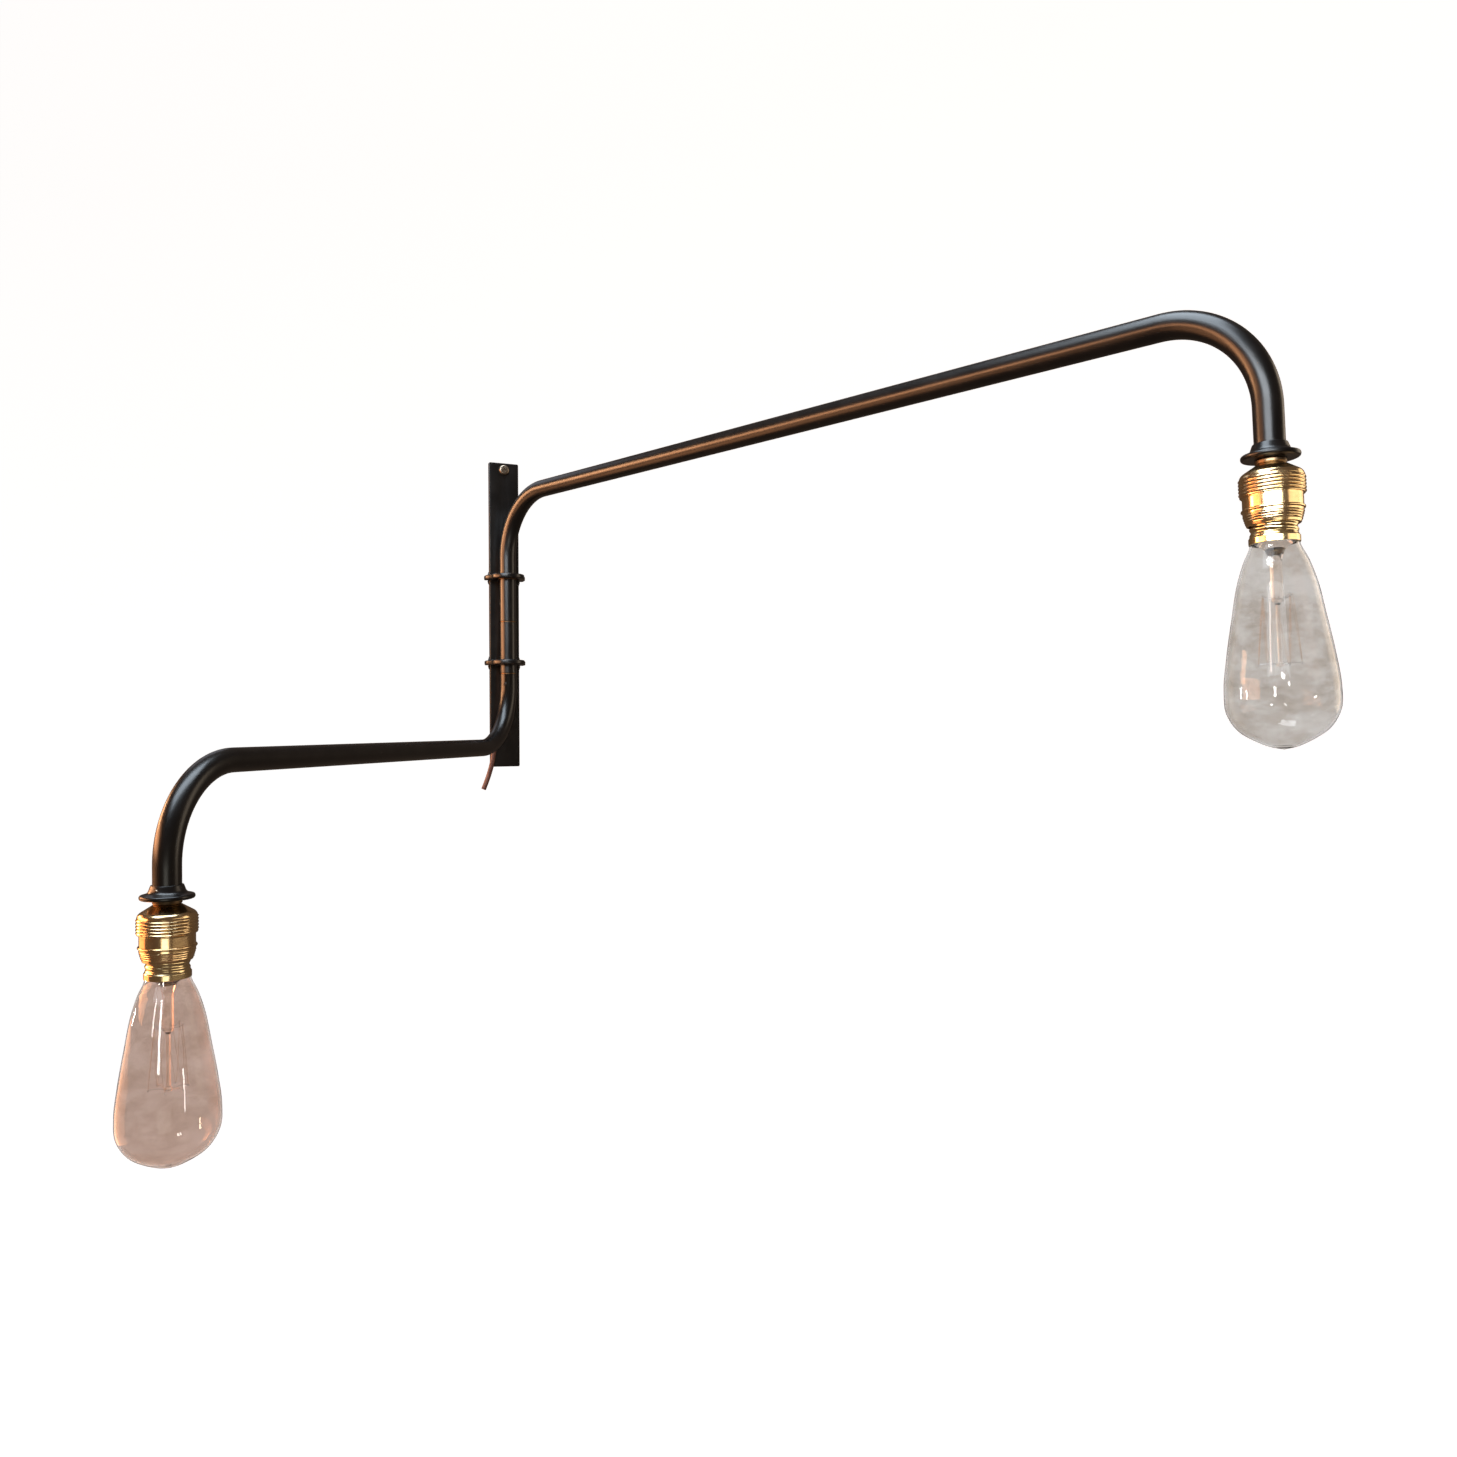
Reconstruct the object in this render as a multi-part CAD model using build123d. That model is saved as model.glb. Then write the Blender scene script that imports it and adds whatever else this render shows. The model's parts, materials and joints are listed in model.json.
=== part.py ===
from build123d import *
import math
import os

# Swing arm wall sconce: a flat wall bar carries two lugs, a short fixed tube and
# a spigot. One tubular arm turns above the fixed tube and one below it, and each
# ends in a brass lampholder with a screwed-in bulb.
# Frame: origin at the centre of the bar's back face, +Z up, +X to the right
# along the wall, +Y into the wall. Millimetres and degrees.

# --- wall bar and its screws ---
bar_width = 32.0
bar_thickness = 5.0
bar_height = 330.0
bar_corner = 1.5
screw_inset = 7.5            # upper screw's axis to the bar's end
lower_screw_z = 12.0         # hidden behind the upper arm's leg
screw_shank_d = 5.0
screw_shoulder_d = 5.4       # plain shank inside the bar
screw_hole_clearance = 0.2   # round the shoulder
screw_head_d = 11.0
screw_head_height = 3.2
screw_length = 45.0          # shank behind the bar, in the wall
screw_head_round = 1.9
screw_recess_width = 1.0     # cross recess
screw_recess_depth = 1.6

# --- arm tube and vertical pivot ---
tube_od = 17.2
tube_wall = 2.0
tube_gap = 6.4               # bar to tube, where the cord passes
running = 0.075              # radial clearance of every turning fit
spigot_bore = 9.5
spigot_top = 25.0
spigot_bottom = -80.0
middle_top = -9.5            # fixed tube between the two arms
middle_bottom = -64.0
washer_thickness = 1.0
washer_recess = 0.4          # washer edge inside the tube's outside
end_gap = 0.05               # arm end to washer

# --- lugs welded to the bar ---
lug_thickness = 5.0
lug_ring_wall = 8.9          # tube's outside to the ring's outside
lug_ear_width = 5.5          # beyond each side of the bar
lug_wall_gap = 1.0           # ears stop short of the wall
lug_round = 1.0
upper_lug_z = 39.5
lower_lug_z = -52.5
bush_wall = 1.5
bush_proud = 0.7

# --- arms ---
bend_r = 65.0                # every tube bend, at the centre line
arms = {
    "upper": {"reach": 790.0, "leg_end": 60.0, "azimuth": -70.6, "end_bend": 87.5, "drop": 29.0},
    "lower": {"reach": 525.0, "leg_end": -78.0, "azimuth": -127.8, "end_bend": 90.0, "drop": 19.0},
}

# --- screw that keeps the lower arm on the spigot ---
retainer_d = 4.0
retainer_z = -76.0
retainer_proud = 0.3
groove_depth = 1.1
groove_play = 0.15           # on each side and under the screw's point

# --- flange and neck at the lamp end ---
flange_r = 16.2
flange_thickness = 3.0
flange_skirt = 6.0
flange_wall = 1.0            # at the skirt's top edge
flange_flare = 2.8           # where the skirt meets the disc
flange_screw_d = 3.0
flange_screw_depth = 1.2     # into the tube's wall
insert_length = 13.5
nipple_d = 10.0
nipple_bore = 7.5
nipple_length = 22.0
neck_proud = 0.1             # beyond the tube's outside
neck_height = 3.5
neck_chamfer = 0.8

# --- brass lampholder, along its own axis below the neck ---
cap_height = 18.1
cap_dome = 5.6
dome_round = 2.6
holder_wall = 1.1
rib_pitch = 2.0
rib_depth = 0.55
rib_count = 5
skirt_height = 16.9          # below the cap
skirt_thread = 1.2           # beyond the barrel, inside the cap
skirt_taper = 6.5            # length of the narrowing end
skirt_overlap = 7.6          # inside the cap
bead_r = 0.9
bead_drop = 8.0
mouth_gap = 0.35             # round the bulb's cap, at the skirt's mouth
insert_top = 9.0             # porcelain below the neck's underside
insert_floor = 9.5
porcelain_wall = 1.1         # round the threaded shell
shell_wall = 0.9
shell_gap = 0.5              # threaded shell to the porcelain floor
terminal_spread = 8.0
terminal_d = 3.0
terminal_head_d = 4.8

# --- bulb ---
bulb_cap_r = 13.2            # over the thread
bulb_cap_wall = 0.6
bulb_cap_collar = 0.7
bulb_cap_length = 26.5       # tip contact to rim, standard on E27
insulator_r = 8.0
tip_r = 4.6
tip_height = 0.9
bulb_seat = 19.5             # tip contact below the neck's underside
glass_wall = 1.0
glass_stations = 14          # points of the inner profile
glass_pip_start = 0.9        # share of the profile where the sealing pip begins
glass_pip_dip = 2.4          # inside of the dome below that point
glass_inset = 2.6            # neck of the glass inside the cap's collar
glass_cement = 0.5           # radial gap for cement round the neck
glass_flare = 0.7            # beyond the neck just below the rim
glass_points = [             # radius, distance below the cap's rim
    (17.2, 9.8), (20.9, 21.5), (25.0, 43.0), (28.7, 65.0), (30.9, 85.0),
    (30.2, 97.0), (24.4, 107.5), (15.0, 114.2), (6.5, 118.0), (0.0, 119.4),
]
stem_length = 33.0
stem_r = 3.4
rod_length = 38.0
rod_r = 1.2
filament_loops = 6
filament_r = 0.25
support_r = 0.4

# --- wires and supply cord ---
wire_d = 4.4
wire_gap = 0.3               # between the fixed wire and each arm's wire
cord_d = 5.2
cord_clearance = 0.3
cord_slot_width = 7.0        # slot in the lower lug between the tube and the bar
cord_plane = -(bar_thickness + tube_gap / 2)
cord_points = [
    (0.0, -15.4, -27.2), (0.0, cord_plane, -36.0), (-0.8, cord_plane, -58.0),
    (-3.2, cord_plane, -98.0), (-9.4, cord_plane, -128.0), (-13.2, cord_plane, -146.0),
    (-16.2, cord_plane + 0.6, -168.5), (-24.2, cord_plane + 2.2, -189.0),
]

# --- worked out ---
tube_r = tube_od / 2
tube_bore_r = tube_r - tube_wall
axis_standoff = bar_thickness + tube_gap + tube_r       # pivot axis to the wall
lug_ring_r = tube_r + lug_ring_wall
bar_front = -bar_thickness
pivot = Pos(0, -axis_standoff, 0)
screw_heights = (bar_height / 2 - screw_inset, lower_screw_z)
flange_half = flange_thickness / 2
neck_d = tube_od + 2 * neck_proud
neck_top = flange_half                       # distances below the flange's middle
neck_bottom = neck_top + neck_height
cap_bottom = neck_bottom + cap_height
skirt_bottom = cap_bottom + skirt_height
insert_z = neck_bottom + insert_top
floor_z = insert_z + insert_floor
bulb_tip = neck_bottom + bulb_seat
bulb_rim = bulb_tip + bulb_cap_length
taper_top = skirt_bottom - skirt_taper
shell_bottom = taper_top - holder_wall
shell_r = bulb_cap_r + running               # inside of the threaded shell
skirt_r = shell_r + shell_wall + porcelain_wall + holder_wall
cap_r = skirt_r + skirt_thread + rib_depth
glass_neck_r = bulb_cap_r + bulb_cap_collar - bulb_cap_wall - glass_cement


def turned(outline, rounds=None):
    """Solid of revolution about Z from (radius, depth) corners; depth runs down."""
    face = make_face(Plane.XZ * Polyline([(r, -s) for r, s in outline], close=True))
    for index, radius in (rounds or {}).items():
        r, s = outline[index]
        corner = face.vertices().sort_by_distance((r, 0, -s))[0]
        face = fillet(corner, radius)
    return revolve(face, Axis.Z)


def ring(outer_r, inner_r, top, bottom):
    """Plain sleeve between two heights."""
    height = top - bottom
    body = Pos(0, 0, bottom + height / 2) * Cylinder(outer_r, height)
    return body - Pos(0, 0, bottom + height / 2) * Cylinder(inner_r, height + 2)


def rod(start, end, radius):
    """Round rod between two points."""
    start, end = Vector(*start), Vector(*end)
    length = (end - start).length
    plane = Plane(origin=start, z_dir=end - start)
    return extrude(plane * Circle(radius), length)


def fused(solids):
    """One solid from pieces that overlap."""
    return solids[0].fuse(*solids[1:]) if len(solids) > 1 else solids[0]


def arm_height(arm):
    """Height of the arm's level reach."""
    return arm["leg_end"] + math.copysign(bend_r, arm["leg_end"])


def arm_path(arm, start_z, extra):
    """Centre line in the arm's own plane: leg, bend, reach, bend and drop."""
    turn = math.radians(arm["end_bend"])
    leg_end, reach, height = arm["leg_end"], arm["reach"], arm_height(arm)
    up = math.copysign(1, leg_end)
    run_end = reach - bend_r
    end_x = run_end + bend_r * math.sin(turn)
    end_z = height - bend_r + bend_r * math.cos(turn)
    tip = arm["drop"] + extra
    knee = math.radians(45)
    half = turn / 2
    return Wire([
        Edge.make_line((0, 0, start_z), (0, 0, leg_end)),
        Edge.make_three_point_arc(
            (0, 0, leg_end),
            (bend_r - bend_r * math.cos(knee), 0, leg_end + up * bend_r * math.sin(knee)),
            (bend_r, 0, height),
        ),
        Edge.make_line((bend_r, 0, height), (run_end, 0, height)),
        Edge.make_three_point_arc(
            (run_end, 0, height),
            (run_end + bend_r * math.sin(half), 0, height - bend_r + bend_r * math.cos(half)),
            (end_x, 0, end_z),
        ),
        Edge.make_line(
            (end_x, 0, end_z),
            (end_x + tip * math.cos(turn), 0, end_z - tip * math.sin(turn)),
        ),
    ])


def arm_place(arm):
    """Where an arm's own plane stands: on the pivot, turned to its azimuth."""
    return pivot * Rot(0, 0, arm["azimuth"])


def lamp_place(arm):
    """Where a lamp's own axis stands: at the middle of the end flange."""
    turn = math.radians(arm["end_bend"])
    x = arm["reach"] - bend_r + bend_r * math.sin(turn) + arm["drop"] * math.cos(turn)
    z = arm_height(arm) - bend_r + bend_r * math.cos(turn) - arm["drop"] * math.sin(turn)
    return arm_place(arm) * Pos(x, 0, z) * Rot(0, arm["end_bend"] - 90, 0)


def swept(path, radius, bore=0.0):
    """Round tube or bar along a path that starts up or down the pivot axis."""
    start = Plane(origin=path @ 0, z_dir=path % 0)
    section = Circle(radius) - Circle(bore) if bore else Circle(radius)
    return sweep(start * section, path=path)


# --- fixed pieces ---
def wall_bar():
    plate = Pos(0, bar_front / 2, 0) * Box(bar_width, bar_thickness, bar_height)
    plate = fillet(plate.edges().filter_by(Axis.Y), bar_corner)
    for z in screw_heights:
        hole_r = screw_shoulder_d / 2 + screw_hole_clearance
        plate -= Pos(0, bar_front / 2, z) * Rot(90, 0, 0) * Cylinder(hole_r, bar_thickness * 2)
    return plate


def wall_screw(z):
    """Pan-head screw through the bar, with a cross recess and a pointed shank."""
    head_r, shoulder_r, shank_r = screw_head_d / 2, screw_shoulder_d / 2, screw_shank_d / 2
    back = screw_head_height + bar_thickness
    end = back + screw_length
    screw = turned(
        [(0, 0), (head_r, 0), (head_r, screw_head_height), (shoulder_r, screw_head_height),
         (shoulder_r, back), (shank_r, back), (shank_r, end - shank_r), (0, end + shank_r)],
        {1: screw_head_round},
    )
    for turn in (0, 90):
        screw -= Rot(0, 0, turn) * Box(head_r, screw_recess_width, screw_recess_depth * 2)
    return Pos(0, bar_front - screw_head_height, z) * Rot(90, 0, 0) * screw


def lug(z, bore_r, slot):
    """Plate round the pivot whose two ears hug the sides of the bar."""
    half = bar_width / 2 + lug_ear_width
    back = -lug_wall_gap
    ring_part = Pos(0, -axis_standoff) * Circle(lug_ring_r)
    ear_front = bar_front - lug_thickness
    body = make_face(Polyline(
        [(-half, back), (half, back), (half, ear_front), (lug_ring_r, -axis_standoff),
         (-lug_ring_r, -axis_standoff), (-half, ear_front)], close=True))
    notch = Pos(0, bar_front / 2) * Rectangle(bar_width, bar_thickness)
    plate = extrude(body + ring_part - notch, lug_thickness)
    plate = Pos(0, 0, -lug_thickness / 2) * plate
    outside = [e for e in plate.edges().filter_by(Plane.XY)
               if e.center().Y < ear_front or abs(e.center().X) > bar_width / 2 + lug_round]
    plate = fillet(outside, lug_round)
    plate -= pivot * Cylinder(bore_r, lug_thickness * 2)
    if slot:
        depth = axis_standoff - tube_r + bar_front
        middle = bar_front - depth / 2
        plate -= Pos(0, middle, 0) * Box(cord_slot_width, depth + 2, lug_thickness * 2)
    return Pos(0, 0, z) * plate


def cord_runs():
    """Cord points, and the arc radius that each corner has room for."""
    points = [Vector(*p) for p in cord_points]
    radii = []
    for before, corner, after in zip(points, points[1:], points[2:]):
        turn = math.radians((corner - before).get_angle(after - corner))
        shorter = min((corner - before).length, (after - corner).length)
        radii.append(0.45 * shorter / math.tan(turn / 2))
    return points, radii


def cord_tube(radius):
    points, radii = cord_runs()
    path = FilletPolyline(*points, radius=radii)
    start = Plane(origin=points[0], z_dir=points[1] - points[0])
    return sweep(start * Circle(radius), path=path), path


def middle_tube(cord_way):
    return pivot * ring(tube_r, tube_bore_r, middle_top, middle_bottom) - cord_way


def pivot_spigot(cord_way):
    """Hollow spigot: full size in the fixed tube, turned down where the arms run."""
    turned_r = tube_bore_r - running
    outline = [
        (spigot_bore / 2, -spigot_top), (turned_r, -spigot_top), (turned_r, -middle_top),
        (tube_bore_r, -middle_top), (tube_bore_r, -middle_bottom), (turned_r, -middle_bottom),
        (turned_r, -spigot_bottom), (spigot_bore / 2, -spigot_bottom),
    ]
    body = turned(outline)
    groove = retainer_d / 2 + groove_play
    body -= ring(tube_bore_r + 1, turned_r - groove_depth, retainer_z + groove, retainer_z - groove)
    return pivot * body - cord_way


def thrust_washers():
    outer, inner = tube_r - washer_recess, tube_bore_r + running
    upper = ring(outer, inner, middle_top + washer_thickness, middle_top)
    lower = ring(outer, inner, middle_bottom, middle_bottom - washer_thickness)
    return Compound(children=[pivot * upper, pivot * lower])


def pivot_wire():
    top, bottom = spigot_top - 1, retainer_z
    return pivot * Pos(0, 0, (top + bottom) / 2) * Cylinder(wire_d / 2, top - bottom)


# --- pieces of one arm, in the arm's own plane ---
def retaining_screw():
    """Radial screw in the lower leg; its point runs in the spigot's groove."""
    inner = tube_bore_r - running - groove_depth + groove_play
    outer = tube_r + retainer_proud
    return rod((inner, 0, retainer_z), (outer, 0, retainer_z), retainer_d / 2)


def flange_screw():
    """Radial grub screw through the flange's skirt into the tube, in lamp axes."""
    z = flange_half + flange_skirt * 0.45
    return rod((tube_r - flange_screw_depth, 0, z), (tube_r + tube_wall, 0, z), flange_screw_d / 2)


def arm_tube(side):
    arm = arms[side]
    away = washer_thickness + end_gap
    start = middle_top + away if side == "upper" else middle_bottom - away
    tube = arm_place(arm) * swept(arm_path(arm, start, flange_half), tube_r, tube_bore_r)
    tube -= lamp_place(arm) * flange_screw()
    if side == "lower":
        tube -= arm_place(arm) * retaining_screw()
    return tube


def lamp_wire(side):
    arm = arms[side]
    start = spigot_top - 1 + wire_gap if side == "upper" else retainer_z - wire_gap
    reach_in = insert_z - 2
    return arm_place(arm) * swept(arm_path(arm, start, reach_in), wire_d / 2)


# --- pieces of one lamp, on its own axis with depth measured below the flange ---
def end_flange():
    top = -flange_half - flange_skirt
    outline = [
        (tube_r, top), (tube_r + flange_wall, top), (tube_r + flange_flare, -flange_half - 1.0),
        (flange_r, -flange_half + 0.2), (flange_r, flange_half), (tube_r, flange_half),
    ]
    return turned(outline, {2: 3.0, 3: 1.1, 4: 1.1}) - flange_screw()


def end_insert():
    return ring(tube_bore_r, nipple_d / 2, insert_length - flange_half, -flange_half)


def nipple():
    top = insert_length - flange_half - 1.5
    return ring(nipple_d / 2, nipple_bore / 2, top, top - nipple_length)


def neck_nut():
    outline = [
        (nipple_d / 2, neck_top), (neck_d / 2 - neck_chamfer, neck_top),
        (neck_d / 2, neck_top + 2 * neck_chamfer), (neck_d / 2, neck_bottom - 1.5 * neck_chamfer),
        (neck_d / 2 - neck_chamfer, neck_bottom), (nipple_d / 2, neck_bottom),
    ]
    return turned(outline)


def ribbed(outline, radius, top, count):
    """Adds a row of ribs to the outside of an outline, running down from top."""
    ribs = []
    for i in range(count):
        s = top + i * rib_pitch
        ribs += [(radius, s), (radius + rib_depth, s + rib_pitch * 0.35),
                 (radius + rib_depth, s + rib_pitch * 0.65)]
    return outline + ribs + [(radius, top + count * rib_pitch)]


def holder_cap():
    """Domed cap with the ribbed band that the skirt screws into."""
    band = cap_r - rib_depth
    inside = cap_r - rib_depth - holder_wall
    dome_end = neck_bottom + cap_dome
    outer = [(nipple_d / 2, neck_bottom), (neck_d / 2, neck_bottom), (band, dome_end)]
    outer = ribbed(outer, band, cap_bottom - rib_count * rib_pitch - 0.6, rib_count)
    outline = outer + [
        (band, cap_bottom), (inside, cap_bottom), (inside, dome_end + holder_wall),
        (neck_d / 2, neck_bottom + 2 * holder_wall), (nipple_d / 2, neck_bottom + 2 * holder_wall),
    ]
    last = len(outline)
    return turned(outline, {2: dome_round, last - 3: dome_round - holder_wall})


def holder_skirt():
    """Barrel below the cap, with a rolled bead and a tapered end."""
    inside = skirt_r - holder_wall
    threaded = cap_r - rib_depth - holder_wall
    top = cap_bottom - skirt_overlap
    mouth = bulb_cap_r + mouth_gap
    outline = [
        (inside, top), (threaded, top), (threaded, cap_bottom), (skirt_r, cap_bottom),
        (skirt_r, taper_top), (mouth + holder_wall, skirt_bottom), (mouth, skirt_bottom), (inside, taper_top),
    ]
    barrel = turned(outline, {4: 3.0})
    bead = Pos(0, 0, -cap_bottom - bead_drop) * Torus(skirt_r, bead_r)
    hollow = ring(inside + skirt_r, inside, -top, -skirt_bottom)
    return barrel + (bead & hollow)


def terminal_spots():
    return [(-terminal_spread, 0), (terminal_spread, 0)]


def porcelain_insert():
    """Porcelain cup: a solid floor for the terminals round the threaded shell."""
    outer = skirt_r - holder_wall
    rim = cap_r - rib_depth - holder_wall
    shelf = cap_bottom - skirt_overlap
    inner = shell_r + shell_wall
    bottom = shell_bottom
    body = turned([
        (0, insert_z), (rim, insert_z), (rim, shelf), (outer, shelf),
        (outer, bottom), (inner, bottom), (inner, floor_z), (0, floor_z),
    ])
    for x, y in terminal_spots():
        body -= Pos(x, y, -insert_z) * Cylinder(terminal_d / 2, insert_floor)
    return body


def thread_shell():
    return ring(shell_r + shell_wall, shell_r, -floor_z - shell_gap, -shell_bottom)


def centre_contact():
    """Sprung leaf with a raised middle under the bulb's tip."""
    thickness = bulb_tip - floor_z - 0.1
    leaf = Pos(0, 0, -floor_z - thickness / 3) * Box(5, 14, thickness / 1.5)
    return leaf + Pos(0, 0, -floor_z - thickness / 2) * Cylinder(2.2, thickness)


def terminal_screws():
    screws = []
    for x, y in terminal_spots():
        depth = insert_floor / 2
        body = turned([
            (0, -2.0), (terminal_head_d / 2, -2.0), (terminal_head_d / 2, 0),
            (terminal_d / 2, 0), (terminal_d / 2, depth), (0, depth),
        ])
        body -= Pos(0, 0, 2.0) * Box(terminal_head_d * 2, 0.8, 1.2)
        screws.append(Pos(x, y, -insert_z) * body)
    return Compound(children=screws)


# --- pieces of one bulb, on the lamp's axis ---
def bulb_glass():
    """Blown shell: an outer profile, and an inner one a wall inside it up to the pip."""
    rim = (glass_neck_r, bulb_rim - glass_inset)
    outer = [rim, (glass_neck_r + glass_flare, bulb_rim + 1.2)]
    outer += [(r, bulb_rim + s) for r, s in glass_points]
    outside = Plane.XZ * Spline([(r, -s) for r, s in outer], tangents=[(0.1, -1), (-1, -0.1)])
    inner = []
    for i in range(glass_stations + 1):
        place = outside @ (glass_pip_start * i / glass_stations)
        along = outside % (glass_pip_start * i / glass_stations)
        inner.append((place.X + glass_wall * along.Z, place.Z - glass_wall * along.X))
    inner.append((0, inner[-1][1] - glass_pip_dip))
    inside = Plane.XZ * Spline(inner, tangents=[(0.1, -1), (-1, 0)])
    mouth = Line(outside @ 0, inside @ 0)
    tip = Line(outside @ 1, inside @ 1)
    return revolve(make_face([outside, tip, inside, mouth]), Axis.Z)


def bulb_cap():
    collar_r = bulb_cap_r + bulb_cap_collar
    wall = bulb_cap_wall
    outline = [
        (insulator_r, bulb_tip + 2.4), (bulb_cap_r - 0.8, bulb_tip + 3.6), (bulb_cap_r, bulb_tip + 5.2),
        (bulb_cap_r, bulb_rim - 4.6), (collar_r, bulb_rim - 3.4), (collar_r, bulb_rim),
        (collar_r - wall, bulb_rim), (collar_r - wall, bulb_rim - 3.0),
        (bulb_cap_r - wall, bulb_rim - 4.4), (bulb_cap_r - wall, bulb_tip + 5.4),
        (bulb_cap_r - 1.2, bulb_tip + 4.2), (insulator_r, bulb_tip + 3.0),
    ]
    return turned(outline)


def cap_insulator():
    top = bulb_tip + tip_height
    return turned([(0, top), (tip_r, top), (insulator_r, bulb_tip + 2.4),
                   (insulator_r, bulb_tip + 3.6), (0, bulb_tip + 3.6)])


def tip_contact():
    base = bulb_tip + tip_height
    return turned([(0, bulb_tip), (tip_r - 1.2, bulb_tip), (tip_r, base), (0, base)])


def stem_end():
    return bulb_rim + stem_length


def bulb_stem():
    """Flared glass stem, then the thin rod and button that hold the cage."""
    flare = glass_neck_r - glass_wall
    top = bulb_rim - glass_inset + 0.3
    end = stem_end() + rod_length
    return turned([
        (0, top), (flare, top), (flare, top + 1.2), (stem_r + 2.0, top + 6.0), (stem_r, top + 12.0),
        (stem_r, stem_end()), (rod_r, stem_end() + 2.0), (rod_r, end - 2.0),
        (rod_r + 1.2, end - 1.0), (rod_r + 1.2, end), (0, end + 1.2),
    ], {3: 2.5, 4: 4.0})


def cage_points():
    """Filament corners in turn: down, across and up round the rod."""
    count = filament_loops * 2
    top_r, bottom_r = 8.5, 11.5
    top, bottom = stem_end() - 3.0, stem_end() + rod_length - 1.0
    points = []
    for i in range(count):
        angle = 2 * math.pi * (i + 0.5) / count
        levels = [(top_r, top), (bottom_r, bottom)]
        if i % 2:
            levels.reverse()
        points += [(r * math.cos(angle), r * math.sin(angle), -s) for r, s in levels]
    return points


def bulb_filament():
    points = cage_points()
    wires = [rod(a, b, filament_r) for a, b in zip(points, points[1:])]
    wires += [Pos(*p) * Sphere(filament_r) for p in points[1:-1]]
    return fused(wires)


def support_wires():
    """Hooks from the stem and the button out to the cage's corners, and two leads."""
    points = cage_points()
    hub = bulb_stem()
    centre_top, centre_bottom = 1.0 - stem_end(), 0.5 - stem_end() - rod_length
    wires = []
    for a, b in list(zip(points[1:], points[2:]))[::2]:
        corner = ((Vector(*a) + Vector(*b)) / 2)
        bottom = corner.Z < -stem_end() - rod_length / 2
        hub_z = centre_bottom if bottom else centre_top
        flat = Vector(corner.X, corner.Y, 0).normalized()
        start = Vector(0, 0, hub_z)
        end = corner - flat * (filament_r + support_r + 0.05)
        wires.append(rod(start, end, support_r) - hub)
    return Compound(children=wires)


# --- build every node ---
def fixed_nodes():
    cord, cord_line = cord_tube(cord_d / 2)
    cord_way, _ = cord_tube(cord_d / 2 + cord_clearance)
    bush_r = tube_r + running + bush_wall
    bush_half = lug_thickness / 2 + bush_proud
    bush = ring(bush_r, tube_r + running, upper_lug_z + bush_half, upper_lug_z - bush_half)
    points, radii = cord_runs()
    print("cord length", round(cord_line.length, 1), "radii", [round(r, 1) for r in radii])
    print("cord volume ratio", round(cord.volume / (math.pi * cord_d**2 / 4 * cord_line.length), 4))
    return {
        "wall_bar": wall_bar(),
        "wall_screws": Compound(children=[wall_screw(z) for z in screw_heights]),
        "upper_lug": lug(upper_lug_z, bush_r, slot=False),
        "lower_lug": lug(lower_lug_z, tube_r, slot=True),
        "lug_bush": pivot * bush,
        "middle_tube": middle_tube(cord_way),
        "pivot_spigot": pivot_spigot(cord_way),
        "thrust_washers": thrust_washers(),
        "pivot_wire": pivot_wire(),
        "supply_cord": cord,
    }


def arm_nodes(side):
    nodes = {"arm_tube": arm_tube(side), "lamp_wire": lamp_wire(side)}
    if side == "lower":
        nodes["retaining_screw"] = arm_place(arms[side]) * retaining_screw()
    return nodes


lamp_pieces = {
    "end_flange": end_flange, "flange_screw": flange_screw, "end_insert": end_insert,
    "nipple": nipple, "neck_nut": neck_nut, "holder_cap": holder_cap,
    "holder_skirt": holder_skirt, "porcelain_insert": porcelain_insert,
    "thread_shell": thread_shell, "centre_contact": centre_contact,
    "terminal_screws": terminal_screws, "bulb_glass": bulb_glass, "bulb_cap": bulb_cap,
    "cap_insulator": cap_insulator, "tip_contact": tip_contact, "bulb_stem": bulb_stem,
    "support_wires": support_wires, "bulb_filament": bulb_filament,
}


def main():
    os.makedirs("parts", exist_ok=True)
    nodes = fixed_nodes()
    for side in arms:
        for name, shape in arm_nodes(side).items():
            nodes[f"{side}_{name}"] = shape
    for name, make in lamp_pieces.items():
        shape = make()
        for side, arm in arms.items():
            nodes[f"{side}_{name}"] = lamp_place(arm) * shape
    for name, shape in nodes.items():
        export_step(shape, f"parts/{name}.step")
    for side, arm in arms.items():
        place = lamp_place(arm)
        print(side, "lamp at", place.position, "axis", Plane(place).z_dir)


main()
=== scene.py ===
import json
import math
import bpy
import bmesh
import numpy as np
from mathutils import Matrix, Vector
from mathutils.geometry import tessellate_polygon


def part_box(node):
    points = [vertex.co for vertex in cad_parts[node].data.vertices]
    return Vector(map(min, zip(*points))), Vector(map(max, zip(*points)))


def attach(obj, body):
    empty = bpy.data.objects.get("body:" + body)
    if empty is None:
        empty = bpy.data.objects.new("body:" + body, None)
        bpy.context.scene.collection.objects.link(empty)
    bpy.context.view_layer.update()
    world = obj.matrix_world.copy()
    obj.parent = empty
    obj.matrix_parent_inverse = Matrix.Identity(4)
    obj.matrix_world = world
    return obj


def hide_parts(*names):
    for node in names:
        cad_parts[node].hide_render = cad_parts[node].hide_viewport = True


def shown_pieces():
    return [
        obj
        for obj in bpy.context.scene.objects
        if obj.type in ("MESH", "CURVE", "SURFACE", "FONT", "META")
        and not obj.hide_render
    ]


# Swing arm wall sconce. Metres, origin at the middle of the wall bar's back, +Z up, +Y into the wall.

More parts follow.
